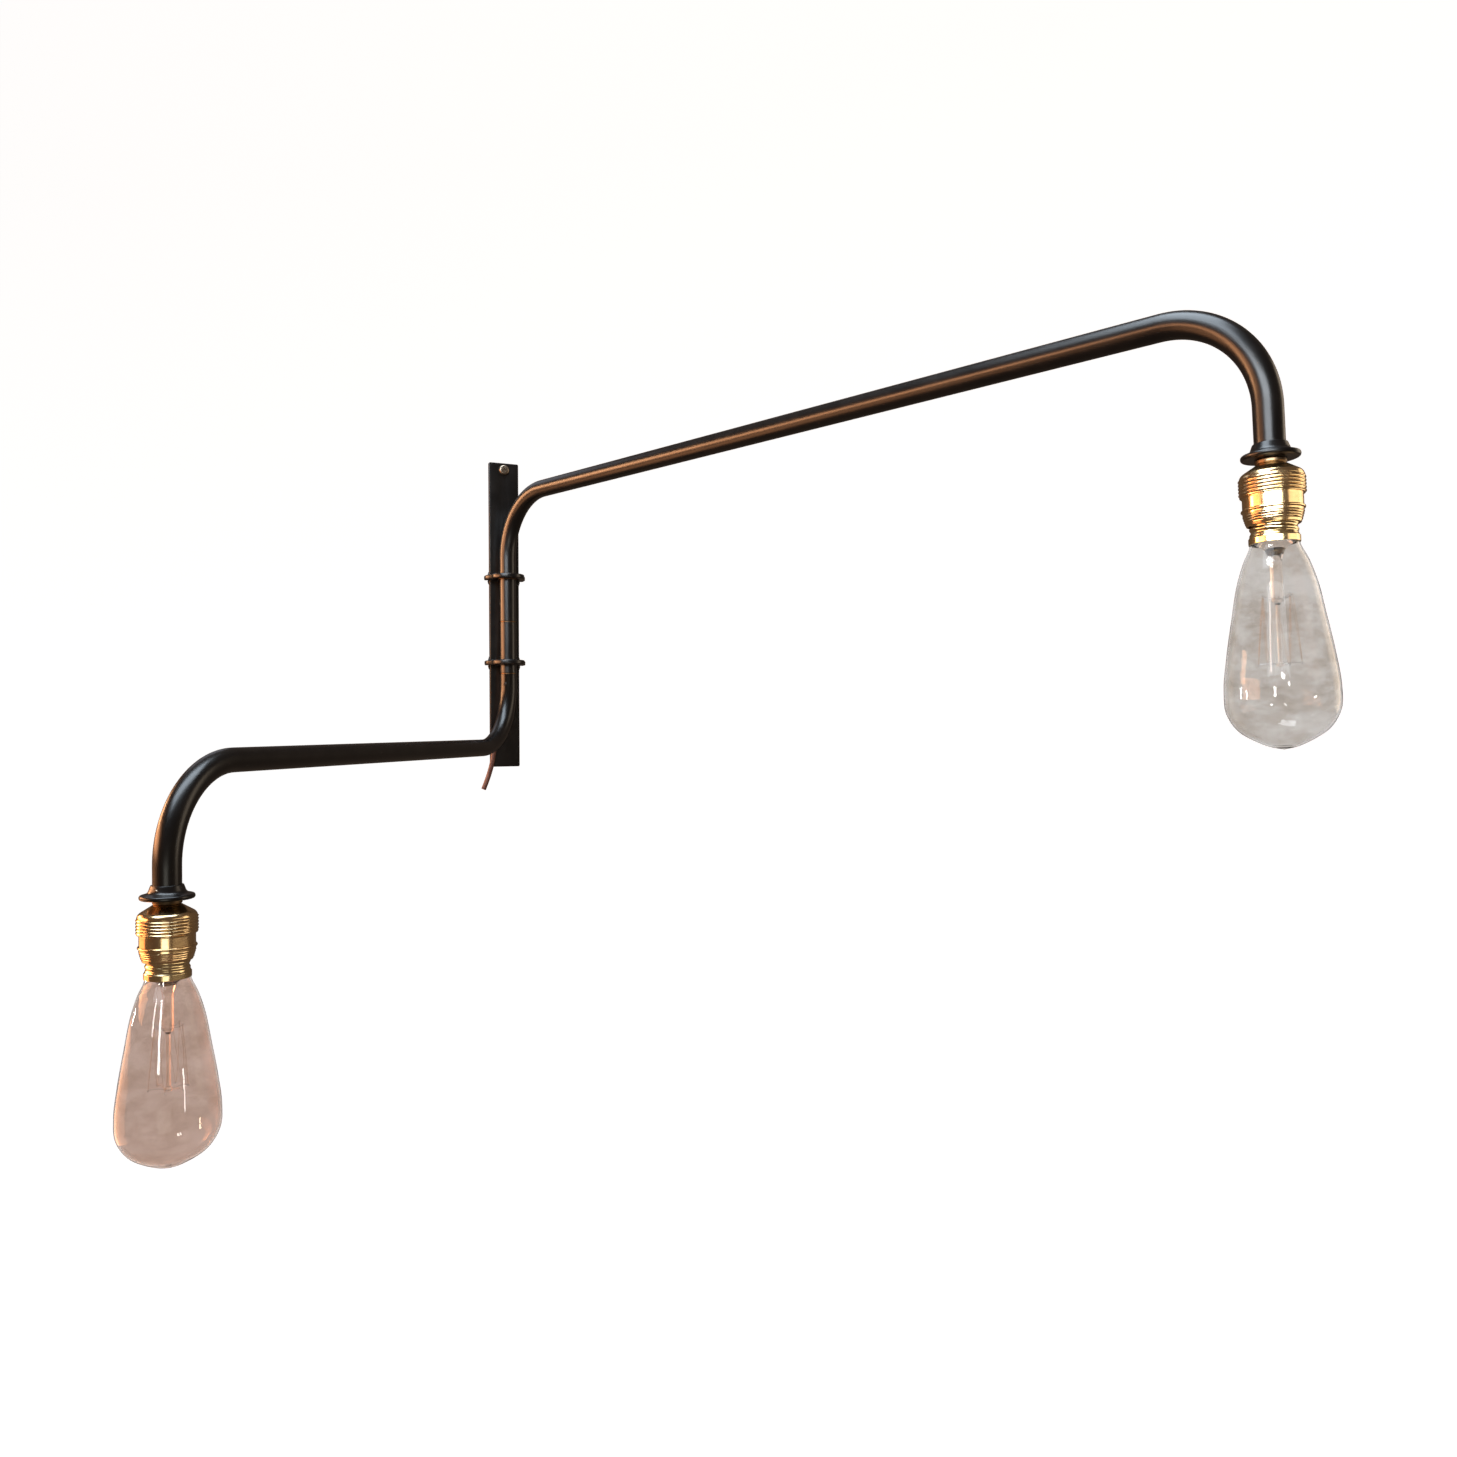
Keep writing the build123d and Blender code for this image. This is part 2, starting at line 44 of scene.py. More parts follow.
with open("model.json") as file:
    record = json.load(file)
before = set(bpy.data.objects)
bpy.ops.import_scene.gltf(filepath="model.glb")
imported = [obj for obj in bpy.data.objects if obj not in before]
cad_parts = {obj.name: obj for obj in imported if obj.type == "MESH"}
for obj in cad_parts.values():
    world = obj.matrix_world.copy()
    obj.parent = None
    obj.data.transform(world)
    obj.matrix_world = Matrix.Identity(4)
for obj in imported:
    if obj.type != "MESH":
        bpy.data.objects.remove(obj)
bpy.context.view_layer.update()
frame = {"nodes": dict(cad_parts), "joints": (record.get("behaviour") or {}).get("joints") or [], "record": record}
mm = 0.001
crease = math.radians(35)   # edges sharper than this stay sharp under smooth shading
joints = {joint["name"]: joint for joint in frame["joints"]}
slotOf = {row["node"]: row["material_slot"] for row in frame["record"]["subparts"]}
sides = ("upper", "lower")
print("frame loaded:", len(slotOf), "nodes")


def boxOf(node):
    # a CAD node's lowest and highest corners, in millimetres
    return [np.array(corner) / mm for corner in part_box(node)]


# camera

shot = {
    "place": (-0.30402, -1.23742, -0.12037),
    "yaw": 24.896, "pitch": -0.199, "roll": -0.272,   # degrees
    "lens": 28.28, "sensor": 36.0, "clip": (0.01, 60),
}


def makeCamera():
    yaw, pitch, roll = (math.radians(shot[k]) for k in ("yaw", "pitch", "roll"))
    level = math.cos(pitch)
    ahead = Vector((math.sin(yaw) * level, math.cos(yaw) * level, math.sin(pitch)))
    right = Vector((math.cos(yaw), -math.sin(yaw), 0))
    up = right.cross(ahead)
    side = right * math.cos(roll) + up * math.sin(roll)
    top = up * math.cos(roll) - right * math.sin(roll)
    data = bpy.data.cameras.new("camera")
    data.lens, data.sensor_width = shot["lens"], shot["sensor"]
    data.clip_start, data.clip_end = shot["clip"]
    camera = bpy.data.objects.new("camera", data)
    turn = Matrix((side, top, -ahead)).transposed().to_4x4()
    camera.matrix_world = Matrix.Translation(shot["place"]) @ turn
    bpy.context.scene.collection.objects.link(camera)
    bpy.context.scene.camera = camera


makeCamera()

# mesh tools


def linkObject(name, data):
    piece = bpy.data.objects.new(name, data)
    bpy.context.scene.collection.objects.link(piece)
    return piece


def dropObject(piece):
    data = piece.data
    bpy.data.objects.remove(piece)
    bpy.data.meshes.remove(data)


def linkMesh(name, points, faces, wear=None):
    # wear, one value a point, is where the paint rubs thin
    mesh = bpy.data.meshes.new(name)
    mesh.from_pydata(points.tolist(), [], faces)
    if wear is not None:
        rubbed = mesh.attributes.new("wear", "FLOAT", "POINT")
        rubbed.data.foreach_set("value", wear.astype(np.float32))
    mesh.update()
    mesh.polygons.foreach_set("use_smooth", np.ones(len(mesh.polygons), bool))
    mesh.set_sharp_from_angle(angle=crease)
    return linkObject(name, mesh)


def closePoles(piece):
    # joins points that share a place, so that a pole is one point
    mesh = bmesh.new()
    mesh.from_mesh(piece.data)
    bmesh.ops.remove_doubles(mesh, verts=mesh.verts, dist=1e-6)
    mesh.to_mesh(piece.data)
    mesh.free()
    piece.data.set_sharp_from_angle(angle=crease)
    return piece


def gridPiece(name, grid, loopRows=False, poles=False, wear=None):
    # quads between neighbours of a grid (rows, columns, 3)
    # each row is a closed ring, and loopRows joins the last row to the first
    rows, columns = grid.shape[:2]
    r = np.arange(rows if loopRows else rows - 1)[:, None]
    c = np.arange(columns)[None, :]
    here, below, beside = r * columns, (r + 1) % rows * columns, (c + 1) % columns
    faces = np.stack([here + c, below + c, below + beside, here + beside], -1).reshape(-1, 4)
    pointWear = None if wear is None else np.repeat(wear, columns)
    piece = linkMesh(name, grid.reshape(-1, 3), faces.tolist(), pointWear)
    return closePoles(piece) if poles else piece


def ringAngles(columns):
    return np.linspace(0, 2 * np.pi, columns, endpoint=False)


def turnGrid(radius, depth, columns=96):
    # a profile turned about Z: x = r cos a, y = r sin a, z = -depth
    # the radius is one number a station, or a grid with a number for each angle too
    angle = ringAngles(columns)
    radius = np.broadcast_to(radius if radius.ndim == 2 else radius[:, None], (len(depth), columns))
    height = np.broadcast_to(-depth[:, None], radius.shape)
    return np.stack([radius * np.cos(angle), radius * np.sin(angle), height], -1)


def moved(grid, matrix):
    # every point of a grid carried by a 4x4 matrix
    m = np.array(matrix)
    return grid @ m[:3, :3].T + m[:3, 3]


def roundedProfile(corners, rounds, steps=6):
    # a polyline whose listed corners become arcs, rounds being {corner: radius}
    # an arc meets its edges r / tan(half the corner's angle) short of the corner
    points = np.array(corners, float)
    out = []
    for i, point in enumerate(points):
        radius = rounds.get(i, 0)
        if not radius:
            out.append(point[None])
            continue
        before, after = points[i - 1] - point, points[(i + 1) % len(points)] - point
        before, after = before / np.linalg.norm(before), after / np.linalg.norm(after)
        half = math.acos(np.clip(before @ after, -1, 1)) / 2
        centre = point + (before + after) / np.linalg.norm(before + after) * radius / math.sin(half)
        start = point + before * radius / math.tan(half) - centre
        end = point + after * radius / math.tan(half) - centre
        t = np.linspace(0, 1, steps + 1)[:, None]
        sweep = math.pi - 2 * half
        out.append(centre + (np.sin((1 - t) * sweep) * start + np.sin(t * sweep) * end) / math.sin(sweep))
    return np.concatenate(out)


def denser(profile, step):
    # more stations on long straight stretches, none further apart than step
    gaps = np.linalg.norm(np.diff(profile, axis=0), axis=1)
    counts = np.maximum(1, np.ceil(gaps / step).astype(int))
    stretches = [start + (end - start) * np.arange(n)[:, None] / n
                 for start, end, n in zip(profile, profile[1:], counts)]
    return np.concatenate(stretches + [profile[-1:]])


def tubeGrid(path, radii, columns=28, flat=None):
    # circles of the given radii round a path's stations, each square to the path's direction there
    # flat is a direction that the path never takes; without it, the axis that the path runs least along
    along = np.gradient(path, axis=0)
    along /= np.linalg.norm(along, axis=1, keepdims=True)
    if flat is None:
        taken = np.abs(along).mean(0) + np.ptp(along, axis=0) * 0.1
        flat = np.eye(3)[int(np.argmin(taken))]
    guide = np.array(flat, float)
    side = guide - (along @ guide)[:, None] * along
    side /= np.linalg.norm(side, axis=1, keepdims=True)
    other = np.cross(side, along)
    angle = ringAngles(columns)[None, :, None]
    ring = np.cos(angle) * side[:, None] + np.sin(angle) * other[:, None]
    return path[:, None] + np.asarray(radii)[:, None, None] * ring


def joinPieces(name, parts):
    # several meshes made one piece
    mesh = bmesh.new()
    for part in parts:
        mesh.from_mesh(part.data)
        dropObject(part)
    data = bpy.data.meshes.new(name)
    mesh.to_mesh(data)
    mesh.free()
    data.set_sharp_from_angle(angle=crease)
    return linkObject(name, data)


def carve(piece, cutter):
    # takes the cutter's shape out of the piece for good
    cut = piece.modifiers.new("cut", "BOOLEAN")
    cut.operation, cut.solver, cut.object = "DIFFERENCE", "EXACT", cutter
    seen = piece.evaluated_get(bpy.context.evaluated_depsgraph_get())
    result = bpy.data.meshes.new_from_object(seen)
    piece.modifiers.clear()
    whole, piece.data = piece.data, result
    name = whole.name
    bpy.data.meshes.remove(whole)
    result.name = name
    result.set_sharp_from_angle(angle=crease)
    dropObject(cutter)
    return piece


def boxPiece(size, matrix):
    # a plain box to cut with
    signs = np.array([[x, y, z] for x in (-1, 1) for y in (-1, 1) for z in (-1, 1)])
    corners = signs * np.array(size) / 2
    faces = [(0, 1, 3, 2), (4, 6, 7, 5), (0, 4, 5, 1), (2, 3, 7, 6), (0, 2, 6, 4), (1, 5, 7, 3)]
    return linkMesh("cutter", moved(corners, matrix), faces)


# materials


class Shade:
    # one socket of a material: sums, differences and products of it add Math nodes
    def __init__(self, tree, socket):
        self.tree, self.socket = tree, socket

    def make(self, kind, settings=None, values=None, output=0):
        # any node: its settings first, then the values or links of its sockets
        node = self.tree.nodes.new(kind)
        for key, value in (settings or {}).items():
            setattr(node, key, value)
        for key, value in (values or {}).items():
            if isinstance(value, Shade):
                self.tree.links.new(value.socket, node.inputs[key])
            else:
                node.inputs[key].default_value = value
        return Shade(self.tree, node.outputs[output])

    def maths(self, operation, first, second):
        return self.make("ShaderNodeMath", {"operation": operation}, {0: first, 1: second})

    def __add__(self, other):
        return self.maths("ADD", self, other)

    __radd__ = __add__

    def __mul__(self, other):
        return self.maths("MULTIPLY", self, other)

    def __rsub__(self, other):
        return self.maths("SUBTRACT", other, self)

    def atMost(self, limit):
        return self.maths("MINIMUM", self, limit)

    def step(self, low, high):
        # 0 below low, 1 above high, smooth between
        values = {"Value": self, "From Min": low, "From Max": high}
        return self.make("ShaderNodeMapRange", {"interpolation_type": "SMOOTHSTEP"}, values)

    def blend(self, first, second):
        # first colour where this is 0, second where it is 1
        first, second = (v if isinstance(v, Shade) else (*v, 1) for v in (first, second))
        values = {0: self, 6: first, 7: second}   # the Mix node's factor and its two colours
        return self.make("ShaderNodeMix", {"data_type": "RGBA"}, values, output=2)


def newMaterial(name, **fixed):
    # a material with its Principled shader, the constants set on the shader's own sockets
    material = bpy.data.materials.new(name)
    material.use_nodes = True
    tree = material.node_tree
    shader = tree.nodes["Principled BSDF"]
    for key, value in fixed.items():
        shader.inputs[key.replace("_", " ")].default_value = value
    coords = tree.nodes.new("ShaderNodeTexCoord")
    return material, shader, Shade(tree, coords.outputs["Object"])


def noise(coords, scale, detail=3, roughness=0.55, stretch=None):
    if stretch:
        coords = coords.make("ShaderNodeMapping", values={"Vector": coords, "Scale": stretch})
    values = {"Vector": coords, "Scale": scale, "Detail": detail, "Roughness": roughness}
    return coords.make("ShaderNodeTexNoise", values=values)


def feed(shader, **values):
    # links each value to the shader's socket of that name
    for key, value in values.items():
        value.tree.links.new(value.socket, shader.inputs[key.replace("_", " ")])


def bump(height, strength, distance):
    values = {"Height": height, "Strength": strength, "Distance": distance}
    return height.make("ShaderNodeBump", values=values)


paint = {
    "dark": (0.0016, 0.0014, 0.0014), "worn": (0.0052, 0.0038, 0.0031), "metal": (0.16, 0.085, 0.045),
    "gloss": 0.25, "coat": 0.18, "peelDepth": 0.0002,
}


def blackPaint():
    # satin paint: fine orange peel, slow mottling of tone and sheen, metal through at rims and a few nicks
    material, shader, coords = newMaterial("blackPaint", IOR=1.55, Coat_Roughness=0.22)
    mottle = noise(coords, 55, 4)
    peel = noise(coords, 1100, 2)
    nicks = noise(coords, 420, 2).step(0.74, 0.79)
    wear = coords.make("ShaderNodeAttribute", {"attribute_name": "wear"}, output="Fac")
    rubbed = (wear * noise(coords, 260, 3).step(0.50, 0.66) * 0.55 + nicks * 0.5).atMost(1.0)
    tone = mottle.step(0.35, 0.72).blend(paint["dark"], paint["worn"])
    feed(shader, Base_Color=rubbed.blend(tone, paint["metal"]),
         Metallic=rubbed * 0.7,
         Roughness=paint["gloss"] + mottle * 0.13 + rubbed * 0.15,
         Coat_Weight=paint["coat"] - rubbed * paint["coat"],
         Normal=bump(peel + mottle * 0.6, 0.10, paint["peelDepth"]))
    return material


def turnedMetal(name, bright, dull, low, high, tarnish=0.5, ringScale=1400):
    # turned and polished metal: tarnish in clouds, fine rings along the height, fingermarks in the gloss
    material, shader, coords = newMaterial(name, Metallic=1.0)
    clouds = noise(coords, 95, 5, 0.62)
    marks = noise(coords, 340, 3)
    rings = noise(coords, 1.0, 2, 0.5, (30, 30, ringScale))
    dirt = (clouds.step(0.42, 0.78) * tarnish + marks.step(0.66, 0.74) * 0.18).atMost(1.0)
    feed(shader, Base_Color=dirt.blend(bright, dull),
         Roughness=low + dirt * (high - low) + rings * 0.05,
         Normal=bump(rings + marks * 0.3, 0.22, 0.00003))
    return material


def bulbGlass(name, clear, smoke):
    # blown glass: faint cloudy film and slow waves in the wall
    material, shader, coords = newMaterial(name, IOR=1.22, Transmission_Weight=1.0)
    film = noise(coords, 42, 4, 0.62, (0.8, 0.8, 1.5)).step(0.38, 0.66)
    waves = noise(coords, 70, 1)
    feed(shader, Base_Color=film.blend(clear, smoke),
         Roughness=0.004 + film * 0.02,
         Normal=bump(waves, 0.12, 0.0006))
    return material


def plainGlass(name, clear, smoke):
    # glass of the bulb's stem, clear with a warm cast
    material, shader, coords = newMaterial(name, IOR=1.5, Transmission_Weight=1.0)
    feed(shader, Base_Color=noise(coords, 120, 2).step(0.3, 0.8).blend(clear, smoke),
         Roughness=0.03 + noise(coords, 300, 2) * 0.05)
    return material


def softPlastic(name, first, second, gloss):
    # matt sheath with a fine grain
    material, shader, coords = newMaterial(name, IOR=1.48)
    mottle = noise(coords, 130, 3)
    feed(shader, Base_Color=mottle.step(0.3, 0.75).blend(first, second),
         Roughness=gloss + mottle * 0.15,
         Normal=bump(noise(coords, 900, 3), 0.18, 0.0002))
    return material


def glazed(name, colour, shadow):
    # glossy under a clear coat
    material, shader, coords = newMaterial(name, IOR=1.5, Coat_Weight=0.6, Coat_Roughness=0.05)
    feed(shader, Base_Color=noise(coords, 60, 3).step(0.4, 0.8).blend(colour, shadow),
         Roughness=0.15 + noise(coords, 200, 2) * 0.15)
    return material


materials = {
    "black_paint": blackPaint(),
    "aged_screw": turnedMetal("agedScrew", (0.42, 0.35, 0.27), (0.14, 0.095, 0.06), 0.28, 0.6, 0.9, 900),
    "bronze": turnedMetal("bronze", (0.16, 0.095, 0.05), (0.07, 0.045, 0.03), 0.4, 0.65),
    "plain_steel": turnedMetal("plainSteel", (0.56, 0.56, 0.56), (0.28, 0.27, 0.26), 0.25, 0.5),
    "dark_brass": turnedMetal("darkBrass", (0.22, 0.15, 0.085), (0.04, 0.029, 0.02), 0.3, 0.55, 0.95),
    "polished_brass": turnedMetal("polishedBrass", (0.90, 0.66, 0.36), (0.44, 0.25, 0.11), 0.15, 0.36, 0.6),
    "bulb_cap_brass": turnedMetal("bulbCapBrass", (0.92, 0.74, 0.42), (0.52, 0.33, 0.15), 0.15, 0.34, 0.45),
    "porcelain": glazed("porcelain", (0.86, 0.84, 0.79), (0.62, 0.58, 0.50)),
    "black_glass": glazed("blackGlass", (0.012, 0.012, 0.013), (0.03, 0.028, 0.026)),
    "upperGlass": bulbGlass("upperGlass", (0.73, 0.722, 0.71), (0.595, 0.565, 0.53)),
    "lowerGlass": bulbGlass("lowerGlass", (0.675, 0.58, 0.535), (0.59, 0.49, 0.435)),
    "stemGlass": plainGlass("stemGlass", (0.95, 0.90, 0.86), (0.90, 0.80, 0.72)),
    "filament_wire": turnedMetal("filamentWire", (0.62, 0.50, 0.40), (0.42, 0.32, 0.25), 0.35, 0.6),
    "copperCore": turnedMetal("copperCore", (0.78, 0.36, 0.19), (0.35, 0.15, 0.08), 0.22, 0.45),
    "wire_sheath": softPlastic("wireSheath", (0.80, 0.78, 0.72), (0.64, 0.60, 0.52), 0.42),
    "cord_sheath": softPlastic("cordSheath", (0.115, 0.040, 0.028), (0.205, 0.085, 0.055), 0.34),
}


def place(piece, body, nodes=(), slot=None, material=None):
    # the piece rides on a body, stands for CAD nodes, and takes the material of its slot or the one named
    if nodes:
        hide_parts(*nodes)
    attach(piece, body)
    slot = slot or slotOf[nodes[0]]
    piece.data.materials.clear()
    piece.data.materials.append(materials[material or slot])
    return piece


print("materials made:", len(materials))

# supply cord

cord = {
    "diameter": 5.2 * mm, "length": 0.1645,
    "points": [   # millimetres from here down
        (0.0, -15.4, -27.2), (0.0, -8.2, -36.0), (-0.8, -8.2, -58.0), (-3.2, -8.2, -98.0),
        (-9.4, -8.2, -128.0), (-13.2, -8.2, -146.0), (-16.2, -7.6, -168.5), (-24.2, -6.0, -189.0),
    ],
    "clearance": 0.3, "coreRadius": 0.7, "coreSpread": 1.15, "coreProud": 0.25, "coreDepth": 2.0,
}


def makeCord():
    data = bpy.data.curves.new("supplyCord", "CURVE")
    data.dimensions = "3D"
    route = data.splines.new("NURBS")
    route.points.add(len(cord["points"]) - 1)
    for point, spot in zip(route.points, cord["points"]):
        point.co = (*(v * mm for v in spot), 1)
        point.radius = cord["diameter"] / 2
    route.order_u = 3
    route.use_endpoint_u = True
    route.resolution_u = 16
    data.bevel_depth = 1.0   # times each point's radius
    data.bevel_resolution = 6
    data.use_fill_caps = True
    return linkObject("supplyCord", data)


def makeCores():
    # copper ends of the three cores, a little proud of the square cut
    last, before = (Vector(p) * mm for p in cord["points"][:-3:-1])
    along = (last - before).normalized()
    across = along.orthogonal().normalized()
    cores = []
    for turn in (0, 120, 240):
        spot = last + Matrix.Rotation(math.radians(turn), 3, along) @ across * cord["coreSpread"] * mm
        t = np.array([0.0, 0.0, 0.85, 1.0, 1.0])[:, None]
        t = t * (cord["coreProud"] + cord["coreDepth"]) * mm - cord["coreDepth"] * mm
        path = np.array(spot)[None] + t * np.array(along)[None]
        radii = np.array([1.0, 1.0, 1.0, 0.8, 1.0]) * cord["coreRadius"] * mm
        cores.append(rodPiece("core", path, radii, 14))
    return joinPieces("cordCores", cores)


def rodPiece(name, path, radii, columns=20, flat=None):
    # a closed rod along a path: one radius, or one a station, drawn in to nothing at both ends
    path = np.array(path, float)
    radii = np.full(len(path), radii)
    radii[[0, -1]] = 0
    # the nudge keeps repeated stations apart
    nudge = np.linspace(0, 1e-7, len(path))[:, None] * (path[-1] - path[0])
    return gridPiece(name, tubeGrid(path + nudge, radii, columns, flat), poles=True)


cordPiece = makeCord()
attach(cordPiece, "root")
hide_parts("supply_cord")
cordPiece.data.materials.append(materials["cord_sheath"])
coresPiece = place(makeCores(), "root", slot="cord_sheath", material="copperCore")
print("camera and cord placed")

# wall bar, screws and lugs

# sizes in millimetres, angles in degrees
bar = {"corner": 1.5, "edge": 0.7, "hole": 5.8, "screws": (157.5, 12.0)}
screw = {
    "head": 11.0, "height": 3.2, "crown": 2.1, "shoulder": 5.4, "shank": 5.0, "length": 45.0,
    "thread": 0.55, "pitch": 1.8, "recess": 1.0, "depth": 1.6, "reach": 5.4, "cross": (20, 110),
}
lug = {
    "ring": 17.5, "half": 21.5, "back": -1.0, "front": -10.0, "edge": 1.3, "soft": 0.9, "bore": 10.175,
    "slot": 7.0,
}
weld = {
    "size": 1.5, "pitch": 2.3, "ripple": 0.16, "seam": 0.9, "cordGap": 4.2, "inset": 0.5, "sag": 0.35,
    "sideLength": 14.0, "ringArc": (118, 422),
}


def roundedPlate(name, loops, half, edge, axes):
    # loops run with the metal on their left; each goes round the rim, pulled in along quarter circles,
    # and the two faces are filled between the loops; axes say where the plate's own x, y, z and origin go
    ends = np.linspace(0, np.pi / 2, 6)
    inset = edge * (1 - np.cos(ends))
    height = half - edge + edge * np.sin(ends)
    inset, height = np.r_[inset[::-1], inset], np.r_[-height[::-1], height]
    rubbed = np.r_[np.sin(2 * ends)[::-1], np.sin(2 * ends)]
    points, faces, wear, start = [], [], [], 0
    lowLoops, highLoops = [], []
    for loop in loops:
        loop = np.asarray(loop, float)
        forward = np.roll(loop, -1, 0) - loop
        forward /= np.linalg.norm(forward, axis=1, keepdims=True)
        left = np.stack([-forward[:, 1], forward[:, 0]], 1)
        back = np.roll(left, 1, 0)
        pull = (left + back) / (1 + (left * back).sum(1, keepdims=True))
        count = len(loop)
        flat = loop[None] + inset[:, None, None] * pull[None]
        grid = np.concatenate([flat, np.broadcast_to(height[:, None, None], (len(height), count, 1))], 2)
        r, c = np.arange(len(height) - 1)[:, None], np.arange(count)[None]
        beside = (c + 1) % count
        here, above = r * count, (r + 1) * count
        quads = np.stack([here + c, here + beside, above + beside, above + c], -1)
        points.append(grid.reshape(-1, 3))
        faces += (quads.reshape(-1, 4) + start).tolist()
        wear.append(np.repeat(rubbed, count))
        lowLoops.append(start + np.arange(count))
        start += len(height) * count
        highLoops.append(start - count + np.arange(count))
    points = np.concatenate(points)
    for rings, up in ((lowLoops, -1), (highLoops, 1)):
        order = np.concatenate(rings)
        for a, b, c in tessellate_polygon([[Vector(points[i]) for i in ring] for ring in rings]):
            a, b, c = (int(order[i]) for i in (a, b, c))
            one, two = points[b] - points[a], points[c] - points[a]
            turn = one[0] * two[1] - one[1] * two[0]
            faces.append([a, b, c] if turn * up > 0 else [a, c, b])
    matrix = np.array(axes, float)
    return linkMesh(name, (points @ matrix[:3] + matrix[3]) * mm, faces, np.concatenate(wear))


def arcPoints(centre, radius, start, end, count):
    # x = cx + r cos a, y = cy + r sin a
    angle = np.radians(np.linspace(start, end, count))
    return np.stack([centre[0] + radius * np.cos(angle), centre[1] + radius * np.sin(angle)], 1)


def makeBar():
    low, high = boxOf("wall_bar")
    half, tall = (high[0] - low[0]) / 2, (high[2] - low[2]) / 2
    thick = high[1] - low[1]
    corners = [(-half, -tall), (half, -tall), (half, tall), (-half, tall)]
    outline = roundedProfile(corners, dict.fromkeys(range(4), bar["corner"]))
    holes = [arcPoints((0, z), bar["hole"] / 2, 360, 0, 49)[:-1] for z in bar["screws"]]
    axes = [(1, 0, 0), (0, 0, 1), (0, -1, 0), (0, -thick / 2, 0)]
    return roundedPlate("wallBar", [outline] + holes, thick / 2, bar["edge"], axes)


def makeScrew(z, front):
    # pan head, plain shoulder, then a thread whose radius is a wave that climbs once a turn
    head, shoulder, shank = screw["head"] / 2, screw["shoulder"] / 2, screw["shank"] / 2
    back = screw["height"] + front
    end = back + screw["length"]
    headCorners = [(0.0, 0.0), (head, 0.25), (head, screw["height"]), (shoulder, screw["height"])]
    headShape = roundedProfile(headCorners, {1: screw["crown"]}, 10)
    body = np.array([(shoulder, back), (shank, back), (shank, end - shank), (0.0, end + shank)])
    profile = np.concatenate([denser(headShape, 0.5), denser(body, 0.22)])
    radius, depth = profile[:, :1], profile[:, 1]
    columns = 40
    angle = ringAngles(columns)[None]
    wave = 0.5 - 0.5 * np.cos(2 * np.pi * (depth[:, None] / screw["pitch"] + angle / (2 * np.pi)))
    threaded = ((depth > back + 0.6) & (depth < end - 1))[:, None]
    cut = np.minimum(screw["thread"] * wave * threaded, radius * 0.4)
    grid = turnGrid(np.maximum(radius - cut, 0), depth, columns) * mm
    turn = Matrix.Rotation(math.radians(90), 4, "X")
    spot = Matrix.Translation((0, -(front + screw["height"]) * mm, z * mm)) @ turn
    piece = gridPiece("screw", moved(grid, spot), poles=True)
    size = (screw["reach"] * mm, screw["recess"] * mm, 2 * screw["depth"] * mm)
    for angle in screw["cross"]:
        carve(piece, boxPiece(size, spot @ Matrix.Rotation(math.radians(angle), 4, "Z")))
    return piece


def lugOutline(slotted):
    # round nose, shoulders that clasp the bar, and either a bore or a throat open to the bar for the cord
    half, ring, front, back = (lug[k] for k in ("half", "ring", "front", "back"))
    shoulder = [(-ring, axisY), (-half, front), (-half, back), (-barSide, back), (-barSide, barFace)]
    rounds = {1: lug["soft"] * 2, 2: lug["soft"]}
    outer = roundedProfile(shoulder, rounds)
    mirror = roundedProfile([(-x, y) for x, y in shoulder], rounds)
    nose = arcPoints((0, axisY), ring, 180, 360, 49)[1:-1]
    if not slotted:
        return [np.concatenate([nose, mirror, outer[::-1]]),
                arcPoints((0, axisY), lug["bore"], 360, 0, 65)[:-1]]
    gap = lug["slot"] / 2
    turn = math.degrees(math.asin(gap / tubeRadius))
    throat = arcPoints((0, axisY), tubeRadius, 90 - turn, -270 + turn, 65)
    slot = np.concatenate([[(gap, barFace)], throat, [(-gap, barFace)]])
    return [np.concatenate([nose, mirror, slot, outer[::-1]])]


def weldBead(path, size, taper=2.0):
    # a bead along a line, its radius rippled once a pitch and drawn in at both ends
    stations = denser(np.asarray(path, float), weld["pitch"] / 10)
    run = np.r_[0, np.cumsum(np.linalg.norm(np.diff(stations, axis=0), axis=1))]
    ripple = 1 - weld["ripple"] * np.abs(np.cos(np.pi * run / weld["pitch"])) ** 0.7
    wander = 1 + 0.10 * np.sin(run * 0.9) + 0.07 * np.sin(run * 2.3 + 1)
    ends = np.sqrt(np.clip(np.minimum(run, run[-1] - run) / taper, 0, 1))
    return gridPiece("bead", tubeGrid(stations * mm, size * mm * ripple * wander * ends, 16), poles=True)


def makeLugWelds(z, half, ringed):
    # seams along the bar's face over and under the lug, down the bar's sides, and round the fixed tube
    end, gap = barSide - weld["inset"], weld["cordGap"]
    beads = []
    for up in (-1, 1):
        level = z + up * (half + 0.1)
        for start, stop in ((-end, -gap), (gap, end)) if ringed else ((-end, end),):
            t = np.linspace(0, 1, 30)
            sag = up * weld["sag"] * np.sin(t * 9)
            line = np.stack([start + (stop - start) * t, np.full(30, barFace - 0.2), level + sag], 1)
            beads.append(weldBead(line, weld["seam"] * (1.25 if up > 0 else 1)))
    for sign in (-1, 1):
        upright = z + (np.linspace(0, 1, 24) - 0.5) * weld["sideLength"]
        line = np.stack([np.full(24, sign * (barSide + 0.35)), np.full(24, lug["back"] - 1.0), upright], 1)
        beads.append(weldBead(line, weld["size"], taper=3.5))
    if ringed:
        for up in (-1, 1):
            circle = arcPoints((0, axisY), tubeRadius + 0.1, *weld["ringArc"], 90)
            line = np.concatenate([circle, np.full((90, 1), z + up * (half + 0.1))], 1)
            beads.append(weldBead(line, weld["seam"]))
    return beads


